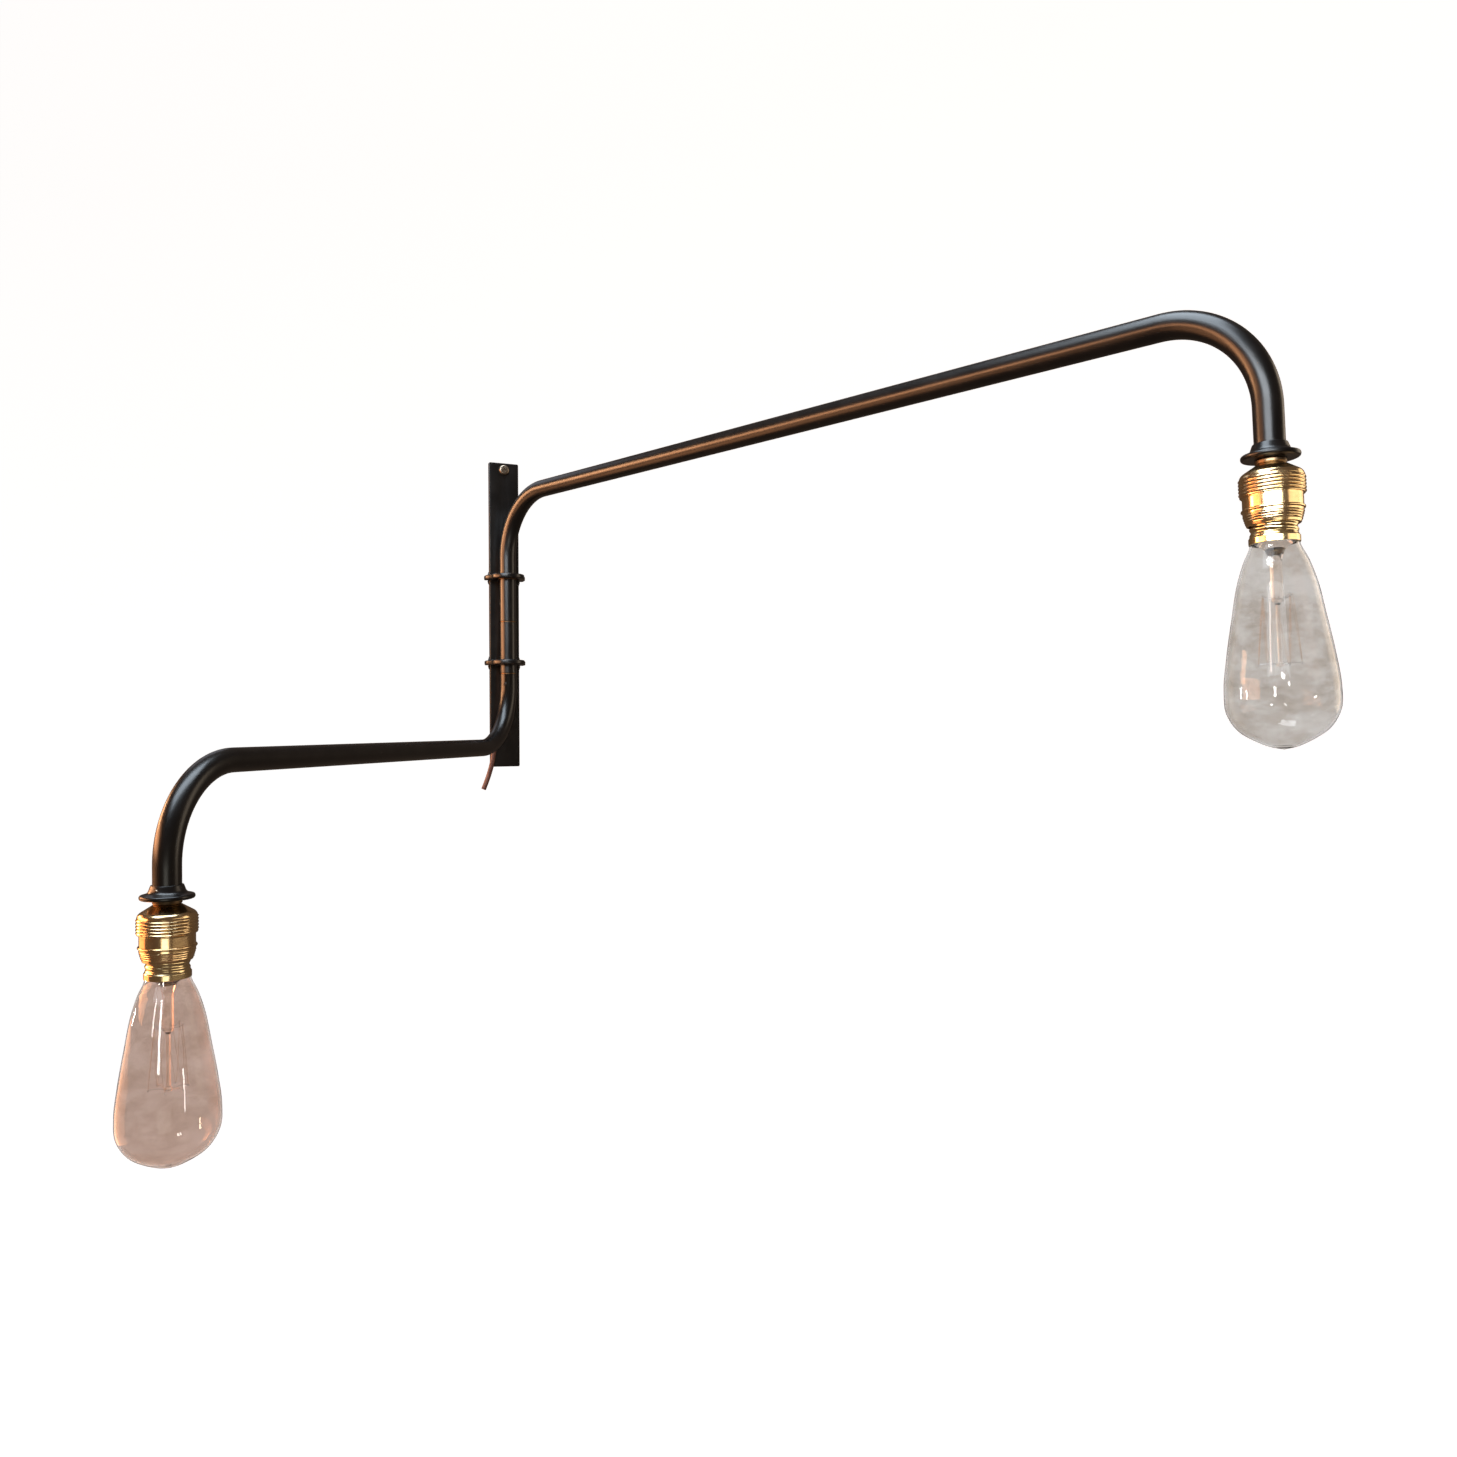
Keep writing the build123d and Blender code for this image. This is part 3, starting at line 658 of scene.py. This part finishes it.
def makeSpatter(z):
    # stray drops of weld: low round grains on the bar's face
    t = np.linspace(0, np.pi, 9)
    grains = []
    for x, rise, size in ((-9.5, 5.5, 0.8), (-6.2, 6.9, 0.55), (11.4, -6.0, 0.6)):
        grid = turnGrid(size * np.sin(t), -size * 0.7 * np.cos(t), 12)
        spot = np.array([x, barFace, z + rise])
        grains.append(gridPiece("grain", (grid + spot) * mm, poles=True))
    return grains


barLow, barHigh = boxOf("wall_bar")
barFace, barSide = barLow[1], barHigh[0]
tubeLow, tubeHigh = boxOf("middle_tube")
tubeRadius = (tubeHigh[0] - tubeLow[0]) / 2
axisSpot = np.array(joints["upper_arm_swing"]["pos_m"]) / mm
axisY = axisSpot[1]

place(makeBar(), "root", ("wall_bar",))
screwPair = [makeScrew(z, barHigh[1] - barFace) for z in bar["screws"]]
place(joinPieces("wallScrews", screwPair), "root", ("wall_screws",))
for side, slotted in (("upper", False), ("lower", True)):
    low, high = boxOf(side + "_lug")
    middle, half = (low[2] + high[2]) / 2, (high[2] - low[2]) / 2
    axes = [(1, 0, 0), (0, 1, 0), (0, 0, 1), (0, 0, middle)]
    piece = roundedPlate(side + "Lug", lugOutline(slotted), half, lug["edge"], axes)
    place(piece, "root", (side + "_lug",))
    beads = makeLugWelds(middle, half, slotted) + makeSpatter(middle)
    place(joinPieces(side + "LugWelds", beads), "root", slot="black_paint")
print("bar, screws, lugs and welds made")

# tubes

arms = {   # millimetres and degrees; the drop runs from the end bend to the flange's middle
    "bend": 65.0, "wall": 2.0, "chamfer": 0.35, "intoFlange": 1.5,
    "upper": {"endBend": 87.5, "drop": 29.0},
    "lower": {"endBend": 90.0, "drop": 19.0},
}


def tubeSolid(name, path, outer, bore, columns=48, flat=None):
    # outside forward, bore back, each end closed by a flat ring with a small chamfer
    c = arms["chamfer"]
    step = np.linalg.norm(np.diff(path, axis=0), axis=1)
    first, last = (path[1] - path[0]) / step[0], (path[-1] - path[-2]) / step[-1]
    stations = np.concatenate([path[:1], path[:1] + first * c, path[1:-1], path[-1:] - last * c, path[-1:]])
    count = len(stations)
    outside = np.r_[outer - c, np.full(count - 2, outer), outer - c]
    inside = np.r_[bore + c * 0.6, np.full(count - 2, bore), bore + c * 0.6]
    wear = np.r_[0.25, 0.15, np.zeros(count - 4), 0.15, 0.25]
    out = tubeGrid(stations * mm, outside * mm, columns, flat)
    back = tubeGrid(stations * mm, inside * mm, columns, flat)[::-1]
    return gridPiece(name, np.concatenate([out, back]), loopRows=True, wear=np.r_[wear, np.zeros(count)])


def armPath(side):
    # leg, quarter bend, level reach, end bend and drop, all in one upright plane
    # gives the path and that plane's normal
    arm, bend = arms[side], arms["bend"]
    lamp = np.array(joints[side + "_bulb_turn"]["pos_m"]) / mm
    pivot = np.array(joints[side + "_arm_swing"]["pos_m"]) / mm
    outward = (lamp - pivot) * [1, 1, 0]
    distance = np.linalg.norm(outward)
    outward /= distance
    turn = math.radians(arm["endBend"])
    reach = distance + bend - bend * math.sin(turn) - arm["drop"] * math.cos(turn)
    height = lamp[2] + bend - bend * math.cos(turn) + arm["drop"] * math.sin(turn)
    low, high = boxOf(side + "_arm_tube")
    up = math.copysign(1, height)
    start = low[2] if up > 0 else high[2]
    legEnd = height - up * bend
    leg = np.stack([np.zeros(10), np.linspace(start, legEnd, 10)], 1)
    knee = arcPoints((bend, legEnd), bend, 180, 180 - up * 90, 30)
    run = np.stack([np.linspace(bend, reach - bend, 40), np.full(40, height)], 1)
    elbow = arcPoints((reach - bend, height - bend), bend, 90, 90 - arm["endBend"], 34)
    way = np.array([math.cos(turn), -math.sin(turn)])
    tip = elbow[-1] + way * (arm["drop"] + arms["intoFlange"])
    drop = elbow[-1] + (tip - elbow[-1]) * np.linspace(0, 1, 8)[:, None]
    flat = np.concatenate([leg, knee[1:], run[1:], elbow[1:], drop[1:]])
    path = pivot * [1, 1, 0] + flat[:, :1] * outward + flat[:, 1:] * np.array([0, 0, 1.0])
    return path, np.cross(outward, [0, 0, 1.0])


bore = tubeRadius - arms["wall"]
for side in sides:
    path, level = armPath(side)
    tube = tubeSolid(side + "ArmTube", path, tubeRadius, bore, flat=level)
    place(tube, side + "_arm", (side + "_arm_tube",))

straight = np.linspace(tubeLow[2], tubeHigh[2], 12)[:, None] * [0, 0, 1] + axisSpot * [1, 1, 0]
fixedTube = tubeSolid("middleTube", straight, tubeRadius, bore, 64)
exitWay = np.array(cord["points"][:4], float) * mm   # the cord's way out, begun one step further in
exitWay = denser(np.concatenate([exitWay[:1] * 2 - exitWay[1:2], exitWay]), 4 * mm)
exitWay = np.concatenate([exitWay[:1], exitWay, exitWay[-1:]])
cutter = rodPiece("cutter", exitWay, cord["diameter"] / 2 + cord["clearance"] * mm, 24, flat=(1, 0, 0))
place(carve(fixedTube, cutter), "root", ("middle_tube",))
print("tubes made")

# lamps


def lampFrame(side):
    # origin in the middle of the flange, Z up the lamp's axis, X away from the pivot
    joint = joints[side + "_bulb_turn"]
    up, spot = Vector(joint["axis"]).normalized(), Vector(joint["pos_m"])
    outward = spot - Vector(joints[side + "_arm_swing"]["pos_m"])
    outward = (outward - outward.dot(up) * up).normalized()
    turn = Matrix((outward, up.cross(outward), up)).transposed().to_4x4()
    return Matrix.Translation(spot) @ turn


# sizes in millimetres, depths below the flange's middle unless said
flange = {"radius": 16.2, "half": 1.5, "skirt": 6.0, "wall": 1.0, "flare": 2.8, "gap": 0.02}
grub = {"length": 3.0, "slot": (2.4, 0.45, 0.9), "slotTurn": 35, "flange": 1.5, "retainer": 2.0}
neck = {"radius": 8.7, "top": 1.5, "bottom": 5.0, "bore": 5.0}
holder = {
    "band": 17.575, "wall": 1.1, "top": 5.0, "dome": 5.6, "bottom": 23.1, "ribs": 5, "pitch": 2.0,
    "rib": 0.55, "skirt": 16.375, "taper": 33.5, "skirtBottom": 40.0, "mouth": 13.55, "bead": 0.9,
    "beadDrop": 8.0, "overlap": 7.6, "thread": 1.2, "fineTop": 33.2, "fineBottom": 38.8,
    "finePitch": 1.4, "fineRib": 0.3,
}
bulb = {
    "cap": 13.2, "capWall": 0.6, "collar": 13.9, "tip": 24.5, "tipHole": 8.0, "rim": 51.0, "pitch": 3.63,
    "thread": 0.75, "neck": 12.8, "inset": 2.6, "glass": 1.0,
    "outline": [   # radius, distance below the cap's rim
        (13.5, 1.2), (17.2, 9.8), (20.9, 21.5), (25.0, 43.0), (28.7, 65.0), (30.9, 85.0),
        (30.2, 97.0), (24.4, 107.5), (15.0, 114.2), (6.5, 118.0), (0.0, 119.4),
    ],
    "stemEnd": 84.0, "stem": 3.4, "rod": 1.2, "rodLength": 38.0, "loops": 6, "filament": 0.11,
    "support": 0.2, "hook": 0.45, "cageTop": 8.5, "cageBottom": 11.5,
}


def turned(name, corners, rounds, matrix, ribs=None, columns=96, step=0.8):
    # a profile of (radius, depth) turned about the lamp's axis; ribs is a formula that adds to the radius
    profile = denser(roundedProfile(corners, rounds), step)
    if np.linalg.norm(profile[0] - profile[-1]) < 1e-9:
        profile = profile[:-1]
    radius, depth = profile[:, :1], profile[:, 1]
    angle = ringAngles(columns)[None]
    extra = ribs(radius, depth[:, None], angle) if ribs else 0 * radius * angle
    grid = turnGrid((radius + extra) * mm, depth * mm, columns)
    closed = profile[0][0] > 0
    return gridPiece(name, moved(grid, matrix), loopRows=closed, poles=not closed)


def makeFlange(matrix):
    # disc with a flared collar up the tube
    r, half, top = flange["radius"], flange["half"], -flange["half"] - flange["skirt"]
    inside, outside, flare = (tubeRadius + flange[k] for k in ("gap", "wall", "flare"))
    corners = [(inside, top), (outside, top), (flare, -half - 1.0), (r, -half + 0.2), (r, half),
               (inside, half)]
    return turned("flange", corners + corners[:1], {1: 0.4, 2: 3.4, 3: 1.3, 4: 1.3}, matrix)


def makeGrub(matrix, reach, radius):
    # slotted grub screw pointing along X, its end at the given reach
    corners = [(0.0, 0.0), (radius, 0.0), (radius, grub["length"]), (0.0, grub["length"])]
    profile = denser(roundedProfile(corners, {1: radius * 0.25}), 0.3)
    spot = matrix @ (Matrix.Translation((reach * mm, 0, 0)) @ Matrix.Rotation(math.radians(90), 4, "Y"))
    grid = turnGrid(profile[:, :1] * mm, profile[:, 1] * mm, 32)
    piece = gridPiece("grub", moved(grid, spot), poles=True)
    size = [radius * share * mm for share in grub["slot"]]
    return carve(piece, boxPiece(size, spot @ Matrix.Rotation(math.radians(grub["slotTurn"]), 4, "Z")))


def makeNeck(matrix):
    r, top, bottom, hole = (neck[k] for k in ("radius", "top", "bottom", "bore"))
    corners = [(hole, top), (r - 0.8, top), (r, top + 0.9), (r, bottom - 1.1), (r - 0.8, bottom),
               (hole, bottom)]
    return turned("neck", corners + corners[:1], {1: 0.3, 2: 0.4, 3: 0.4, 4: 0.3}, matrix)


def helix(depth, angle, top, bottom, pitch, height, fade=0.5):
    # a rib that climbs once a turn: rounded crest, flat root, faded out at the band's two ends
    wave = 0.5 + 0.5 * np.cos(2 * np.pi * (depth / pitch - angle / (2 * np.pi)))
    window = np.clip((depth - top) / fade, 0, 1) * np.clip((bottom - depth) / fade, 0, 1)
    return height * wave ** 1.4 * window


def makeHolderCap(matrix):
    # domed cap whose band carries the helical grip ribs
    h = holder
    band, inside, domeEnd = h["band"], h["band"] - h["wall"], h["top"] + h["dome"]
    ribTop, ribBottom = h["bottom"] - h["ribs"] * h["pitch"] - 0.8, h["bottom"] - 0.4
    under = h["top"] + 2 * h["wall"]
    corners = [(neck["bore"], h["top"]), (neck["radius"], h["top"]), (band, domeEnd), (band, h["bottom"]),
               (inside, h["bottom"]), (inside, domeEnd + h["wall"]), (neck["radius"], under),
               (neck["bore"], under)]

    def ribs(radius, depth, angle):
        return helix(depth, angle, ribTop, ribBottom, h["pitch"], h["rib"]) * (radius > band - 0.05)

    rounds = {1: 1.2, 2: 4.4, 3: 0.4, 5: 2.6}
    return turned("holderCap", corners + corners[:1], rounds, matrix, ribs, 128, 0.22)


def makeSkirt(matrix):
    # barrel with a rolled bead, then a tapered end with fine helical ribs
    h = holder
    outer, inside, mouth = h["skirt"], h["skirt"] - h["wall"], h["mouth"]
    threaded, top, end = inside + h["thread"], h["bottom"] - h["overlap"], h["skirtBottom"]
    corners = [(inside, top), (threaded, top), (threaded, h["bottom"] + 0.3), (outer, h["bottom"] + 0.9),
               (outer, h["taper"]), (mouth + h["wall"], end), (mouth, end), (inside, h["taper"])]
    beadAt = h["bottom"] + h["beadDrop"]

    def ribs(radius, depth, angle):
        down = np.clip((depth - h["taper"]) / (end - h["taper"]), 0, 1)
        surface = outer - (outer - mouth - h["wall"]) * down
        bead = np.sqrt(np.clip(h["bead"] ** 2 - (depth - beadAt) ** 2, 0, None))
        fine = helix(depth, angle, h["fineTop"], h["fineBottom"], h["finePitch"], h["fineRib"])
        return (bead + fine) * (radius > surface - 0.35)

    return turned("holderSkirt", corners + corners[:1], {3: 0.5, 4: 3.0, 5: 0.5}, matrix, ribs, 128, 0.2)


def makeBulbCap(matrix):
    # pressed screw cap: the rounded thread climbs once a turn and runs out below a plain collar
    b = bulb
    r, wall, collar, tip, rim = (b[k] for k in ("cap", "capWall", "collar", "tip", "rim"))
    root = r - wall - b["thread"]
    corners = [(b["tipHole"], tip + 2.4), (r - 0.8, tip + 3.6), (r, tip + 5.2), (r, rim - 4.6),
               (collar, rim - 3.6), (collar, rim), (collar - wall, rim), (collar - wall, rim - 3.2),
               (root, rim - 4.6), (root, tip + 5.6), (r - 1.4, tip + 4.2), (b["tipHole"], tip + 3.0)]

    def ribs(radius, depth, angle):
        wave = 0.5 - 0.5 * np.cos(2 * np.pi * (depth / b["pitch"] - angle / (2 * np.pi)))
        window = np.clip((depth - tip - 5.4) / 1.5, 0, 1) * np.clip((rim - 4.8 - depth) / 1.5, 0, 1)
        return -b["thread"] * wave * window * (radius > r - wall * 0.5)

    rounds = {1: 0.6, 2: 0.8, 4: 0.4, 5: 0.3}
    return turned("bulbCap", corners + corners[:1], rounds, matrix, ribs, 112, 0.3)


def smoothProfile(points, count):
    # a curve through the points: cubic Hermite with slopes from each point's neighbours
    points = np.array(points, float)
    gaps = np.linalg.norm(np.diff(points, axis=0), axis=1)
    knots = np.r_[0, np.cumsum(gaps)]
    slope = np.gradient(points, knots, axis=0)
    s = np.linspace(0, knots[-1], count)
    i = np.clip(np.searchsorted(knots, s, side="right") - 1, 0, len(gaps) - 1)
    t, h = ((s - knots[i]) / gaps[i])[:, None], gaps[i][:, None]
    return ((2 * t**3 - 3 * t**2 + 1) * points[i] + (t**3 - 2 * t**2 + t) * h * slope[i]
            + (3 * t**2 - 2 * t**3) * points[i + 1] + (t**3 - t**2) * h * slope[i + 1])


def makeGlass(name, matrix):
    # blown shell: the outside down to the sealing pip, then the inside back up, a wall in along the normal
    b = bulb
    outline = [(b["neck"], -b["inset"])] + b["outline"]
    outer = smoothProfile(outline, 90)
    outer[:, 0] = np.maximum(outer[:, 0], 0)
    outer[-1, 0] = 0
    along = np.gradient(outer, axis=0)
    along /= np.linalg.norm(along, axis=1, keepdims=True)
    inner = outer + b["glass"] * np.stack([-along[:, 1], along[:, 0]], 1)
    inner = inner[inner[:, 0] > 4.5]
    t = np.linspace(0, 1, 9)[1:, None]
    edge = inner[-1]
    dome = np.concatenate([edge[0] * np.cos(t * np.pi / 2), edge[1] + 0.8 * np.sin(t * np.pi / 2)], 1)
    profile = np.concatenate([outer, np.concatenate([inner, dome])[::-1]])
    grid = turnGrid(profile[:, :1] * mm, (profile[:, 1] + b["rim"]) * mm, 112)
    return gridPiece(name, moved(grid, matrix), loopRows=True, poles=True)


def makeStem(name, matrix):
    # flared glass stem, pinched above the supports, then the rod and its button
    stem, rod, pinch = bulb["stem"], bulb["rod"], bulb["stemEnd"]
    flare, top = bulb["neck"] - bulb["glass"], bulb["rim"] - bulb["inset"] + 0.3
    end = pinch + bulb["rodLength"]
    corners = [(0.0, top), (flare, top), (flare, top + 1.2), (stem + 2.0, top + 6.0), (stem, top + 12.0),
               (stem, pinch), (rod, pinch + 2.5), (rod, end - 2.2), (rod + 1.2, end - 1.2),
               (rod + 1.2, end), (0.0, end + 1.2)]
    rounds = {2: 0.5, 3: 3.5, 4: 5.0, 5: 1.2, 6: 1.2, 8: 0.6, 9: 0.6}
    return turned(name, corners, rounds, matrix, columns=48, step=1.2)


def cagePath(t):
    # zigzag: depth is a softened triangle wave of the angle, and the radius widens with depth
    b = bulb
    wave = np.arcsin(0.985 * np.sin(2 * np.pi * (b["loops"] * t - 0.25))) / np.arcsin(0.985)
    top, bottom = b["stemEnd"] - 2.6, b["stemEnd"] + b["rodLength"] - 1.4
    depth = (top + bottom) / 2 + (bottom - top) / 2 * wave
    radius = b["cageTop"] + (b["cageBottom"] - b["cageTop"]) * (wave + 1) / 2
    angle = 2 * np.pi * t * 0.94
    return np.stack([radius * np.cos(angle), radius * np.sin(angle), -depth], -1)


def makeFilament(name, matrix):
    # one fine wire round the whole cage
    path = moved(cagePath(np.linspace(0, 1, 420)) * mm, matrix)
    return rodPiece(name, path, bulb["filament"] * mm, 6, flat=Vector((0.31, 0.22, 0.92)).normalized())


def makeSupports(name, matrix):
    # a thin wire from the stem or the button out to each corner of the cage, ending in a small hook
    b = bulb
    wires = []
    turns = np.arange(b["loops"] * 2 + 1) / (b["loops"] * 2)
    for i, t in enumerate(turns):
        corner = cagePath(np.array([t]))[0]
        away = corner * [1, 1, 0] / np.linalg.norm(corner[:2])
        low = i % 2 == 1
        hub = away * (b["rod"] + 0.8 if low else b["stem"] - 0.4)
        hub[2] = -(b["stemEnd"] + b["rodLength"] - 0.6) if low else -(b["stemEnd"] - 1.5)
        s = np.linspace(0, 1, 14)[:, None]
        droop = np.array([0, 0, 0.6 if low else -0.6]) * np.sin(np.pi * s)
        line = hub + (corner - hub) * s + droop
        curl = np.linspace(0, 1.6 * np.pi, 10)[:, None]
        over = np.array([0, 0, -1.0 if low else 1.0])
        hook = corner + b["hook"] * (np.sin(curl) * away + (1 - np.cos(curl)) * over)
        path = moved(np.concatenate([line, hook[1:]]) * mm, matrix)
        across = np.array(matrix)[:3, :3] @ np.cross(away, [0, 0, 1.0])
        wires.append(rodPiece("wire", path, b["support"] * mm, 6, flat=across))
    return joinPieces(name, wires)


for side in sides:
    spot = lampFrame(side)
    arm, lamp = side + "_arm", side + "_bulb"
    grubAt = spot @ Matrix.Translation((0, 0, (flange["half"] + flange["skirt"] * 0.45) * mm))
    pieces = {   # name: the piece, its body and the CAD node it stands for
        "EndFlange": (makeFlange(spot), arm, "end_flange"),
        "NeckNut": (makeNeck(spot), arm, "neck_nut"),
        "HolderCap": (makeHolderCap(spot), arm, "holder_cap"),
        "HolderSkirt": (makeSkirt(spot), arm, "holder_skirt"),
        "BulbCap": (makeBulbCap(spot), lamp, "bulb_cap"),
        "BulbFilament": (makeFilament("filament", spot), lamp, "bulb_filament"),
        "SupportWires": (makeSupports("supports", spot), lamp, "support_wires"),
        "FlangeScrew": (makeGrub(grubAt, tubeRadius + 2.0, grub["flange"]), arm, "flange_screw"),
    }
    for name, (piece, body, node) in pieces.items():
        piece.name = side + name
        place(piece, body, (f"{side}_{node}",))
    place(makeGlass(side + "BulbGlass", spot), lamp, (side + "_bulb_glass",), material=side + "Glass")
    place(makeStem(side + "BulbStem", spot), lamp, (side + "_bulb_stem",), material="stemGlass")

# the lower arm's retaining screw faces the way its lamp lies, a little proud of the leg
legWay = lampFrame("lower").to_3x3() @ Vector((1, 0, 0))
turn = Matrix.Rotation(math.atan2(legWay.y, legWay.x), 4, "Z")
low, high = boxOf("lower_retaining_screw")
spot = Vector(joints["lower_arm_swing"]["pos_m"])
spot.z = (low[2] + high[2]) / 2 * mm
retainer = makeGrub(Matrix.Translation(spot) @ turn, tubeRadius + 0.25, grub["retainer"])
retainer.name = "lowerRetainingScrew"
place(retainer, "lower_arm", ("lower_retaining_screw",), material="black_paint")
print("lamps made")

# CAD nodes left showing
for name, node in frame["nodes"].items():
    if not node.hide_render:
        node.data.materials.clear()
        node.data.materials.append(materials[slotOf[name]])

# studio

studio = {
    "floor": -1.25, "flat": 2.6, "bend": 1.6, "top": 5.0,   # metres
    "pale": 0.55, "glow": 0.93, "world": (0.10, 0.072, 0.055),
}
lights = {   # place, aim, size, colour, radiance
    "windowHigh": ((-1.18, -1.73, 0.72), (0.2, -0.77, 0.02), (1.5, 0.66), (0.86, 0.93, 1.0), 10.0),
    "windowLow": ((-1.02, -1.88, 0.24), (0.26, -0.77, 0.02), (2.1, 0.40), (0.93, 0.96, 1.0), 19.0),
    "goldFill": ((1.35, -2.0, 0.0), (0.0, -0.6, -0.1), (2.0, 1.0), (1.0, 0.84, 0.62), 1.7),
    "skylight": ((-0.55, -0.7, 1.65), (-0.2, -0.6, 0.0), (1.1, 2.0), (0.76, 0.88, 1.0), 7.0),
    "warmWall": ((-1.7, 0.15, 0.08), (0.1, -0.3, 0.0), (1.6, 0.45), (1.0, 0.44, 0.20), 10.0),
    "warmGlow": ((-1.55, 0.95, 0.36), (0.0, -0.03, 0.08), (0.55, 0.4), (1.0, 0.50, 0.24), 14.0),
    "warmFloor": ((-1.4, 0.4, -0.75), (0.1, -0.4, 0.1), (1.3, 0.7), (1.0, 0.42, 0.18), 2.4),
    "lowPanel": ((-0.6, -2.2, -0.64), (-0.32, -0.43, -0.25), (0.9, 0.45), (1.0, 0.97, 0.85), 2.5),
    "rightFill": ((2.2, -1.0, 0.35), (0.1, -0.5, 0.0), (1.0, 1.8), (1.0, 0.82, 0.62), 1.6),
    "backTop": ((-0.6, 1.2, 1.0), (-0.2, -0.4, 0.0), (1.0, 0.5), (0.8, 0.86, 1.0), 0.8),
}

white, warm = (1.0, 1.0, 1.0), (1.0, 0.97, 0.94)
glints = {   # small lights that only the bulbs' glass shows: place, size, colour, radiance
    "upper": [
        ((-0.83, -1.77, 0.30), (0.14, 0.12), white, 150),
        ((-0.65, -1.98, 0.12), (0.12, 0.10), white, 150),
        ((-1.10, -1.45, 0.00), (0.16, 0.10), white, 130),
        ((-0.77, 0.34, -0.06), (0.10, 0.12), white, 130),
        ((-1.03, 0.04, -0.09), (0.10, 0.08), (1.0, 0.9, 0.8), 110),
        ((0.67, -2.24, -0.03), (0.12, 0.10), (1.0, 0.92, 0.84), 120),
        ((-1.15, -1.27, -0.42), (0.14, 0.12), white, 110),
        ((-0.77, -1.86, -0.39), (0.12, 0.10), white, 130),
        ((0.02, -1.20, -1.12), (0.50, 0.30), (0.92, 0.96, 1.0), 22),
        ((-0.75, -1.03, 1.06), (0.50, 0.25), (0.95, 0.98, 1.0), 55),
        ((-1.05, -1.21, 0.57), (0.10, 0.50), (1.0, 0.86, 0.80), 36),
    ],
    "lower": [
        ((-1.30, -1.47, 0.13), (0.11, 0.66), warm, 85),
        ((-0.86, -1.75, 0.12), (0.17, 0.72), warm, 85),
        ((-1.50, 0.50, -0.31), (0.12, 0.12), (1.0, 0.95, 0.90), 80),
        ((0.58, -1.67, -0.36), (0.10, 0.25), (1.0, 0.96, 0.92), 60),
        ((1.05, -0.94, -0.78), (0.12, 0.12), (1.0, 0.72, 0.50), 70),
        ((0.27, -1.76, -0.85), (0.20, 0.10), (1.0, 0.92, 0.86), 60),
    ],
}
brass = ("NeckNut", "HolderCap", "HolderSkirt", "BulbCap")
lowerMetal = ["lower" + part for part in ("ArmTube", "EndFlange", *brass)]
reached = {   # lights that reach only some pieces
    "windowHigh": [piece.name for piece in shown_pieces() if piece.name not in lowerMetal],
    "windowLow": ["upper" + part for part in brass],
    "goldFill": [side + part for side in sides for part in brass[1:]],
}
for side in sides:
    x, y, z = joints[side + "_bulb_turn"]["pos_m"]
    for i, (spot, *rest) in enumerate(glints[side]):
        name = f"{side}Glint{i}"
        lights[name] = (spot, (x, y, z - 0.13), *rest)   # aimed at the glass
        reached[name] = [side + "BulbGlass"]


def makeStudio():
    # one sheet: a flat floor, a quarter-round cove and a dome, turned about Z
    floor, flat, bend, top, pale = (studio[k] for k in ("floor", "flat", "bend", "top", "pale"))
    t = np.linspace(0, np.pi / 2, 24)
    ground = np.stack([np.linspace(0, flat, 12), np.full(12, floor)], 1)
    cove = np.stack([flat + bend * np.sin(t), floor + bend * (1 - np.cos(t))], 1)
    dome = np.stack([(flat + bend) * np.cos(t), floor + bend + (top - bend) * np.sin(t)], 1)
    profile = np.concatenate([ground, cove[1:], dome[1:]])
    grid = turnGrid(profile[:, :1], -profile[:, 1], 96)
    room = gridPiece("studioRoom", grid, poles=True)
    room.visible_glossy = room.visible_diffuse = room.visible_shadow = False
    material, shader, coords = newMaterial("paleRoom", Roughness=0.9)
    feed(shader, Base_Color=noise(coords, 3, 2).step(0.2, 0.9).blend((pale,) * 3, (pale * 0.98,) * 3))
    shader.inputs["Emission Color"].default_value = (1, 1, 1, 1)
    shader.inputs["Emission Strength"].default_value = studio["glow"]
    room.data.materials.append(material)


def makeLights():
    # area lights, each turned from its place to its aim, hidden from the camera
    for name, (spot, aim, size, colour, radiance) in lights.items():
        data = bpy.data.lights.new(name, "AREA")
        data.shape = "RECTANGLE"
        data.size, data.size_y = size
        data.color = colour
        data.energy = radiance * math.pi * size[0] * size[1]
        light = bpy.data.objects.new(name, data)
        turn = (Vector(spot) - Vector(aim)).to_track_quat("Z", "Y").to_matrix().to_4x4()
        light.matrix_world = Matrix.Translation(spot) @ turn
        light.visible_camera = False
        if name in reached:
            light.visible_transmission = False
            receivers = bpy.data.collections.new(name + "Reaches")
            for pieceName in reached[name]:
                receivers.objects.link(bpy.data.objects[pieceName])
            light.light_linking.receiver_collection = receivers
        bpy.context.scene.collection.objects.link(light)
    world = bpy.data.worlds.new("roomTone")
    world.use_nodes = True
    world.node_tree.nodes["Background"].inputs["Color"].default_value = (*studio["world"], 1)
    bpy.context.scene.world = world
    bpy.context.scene.view_settings.view_transform = "Standard"


makeStudio()
makeLights()
print("studio made")

# the cord's first point, in metres

exitSpot = [v * mm for v in cord["points"][0]]
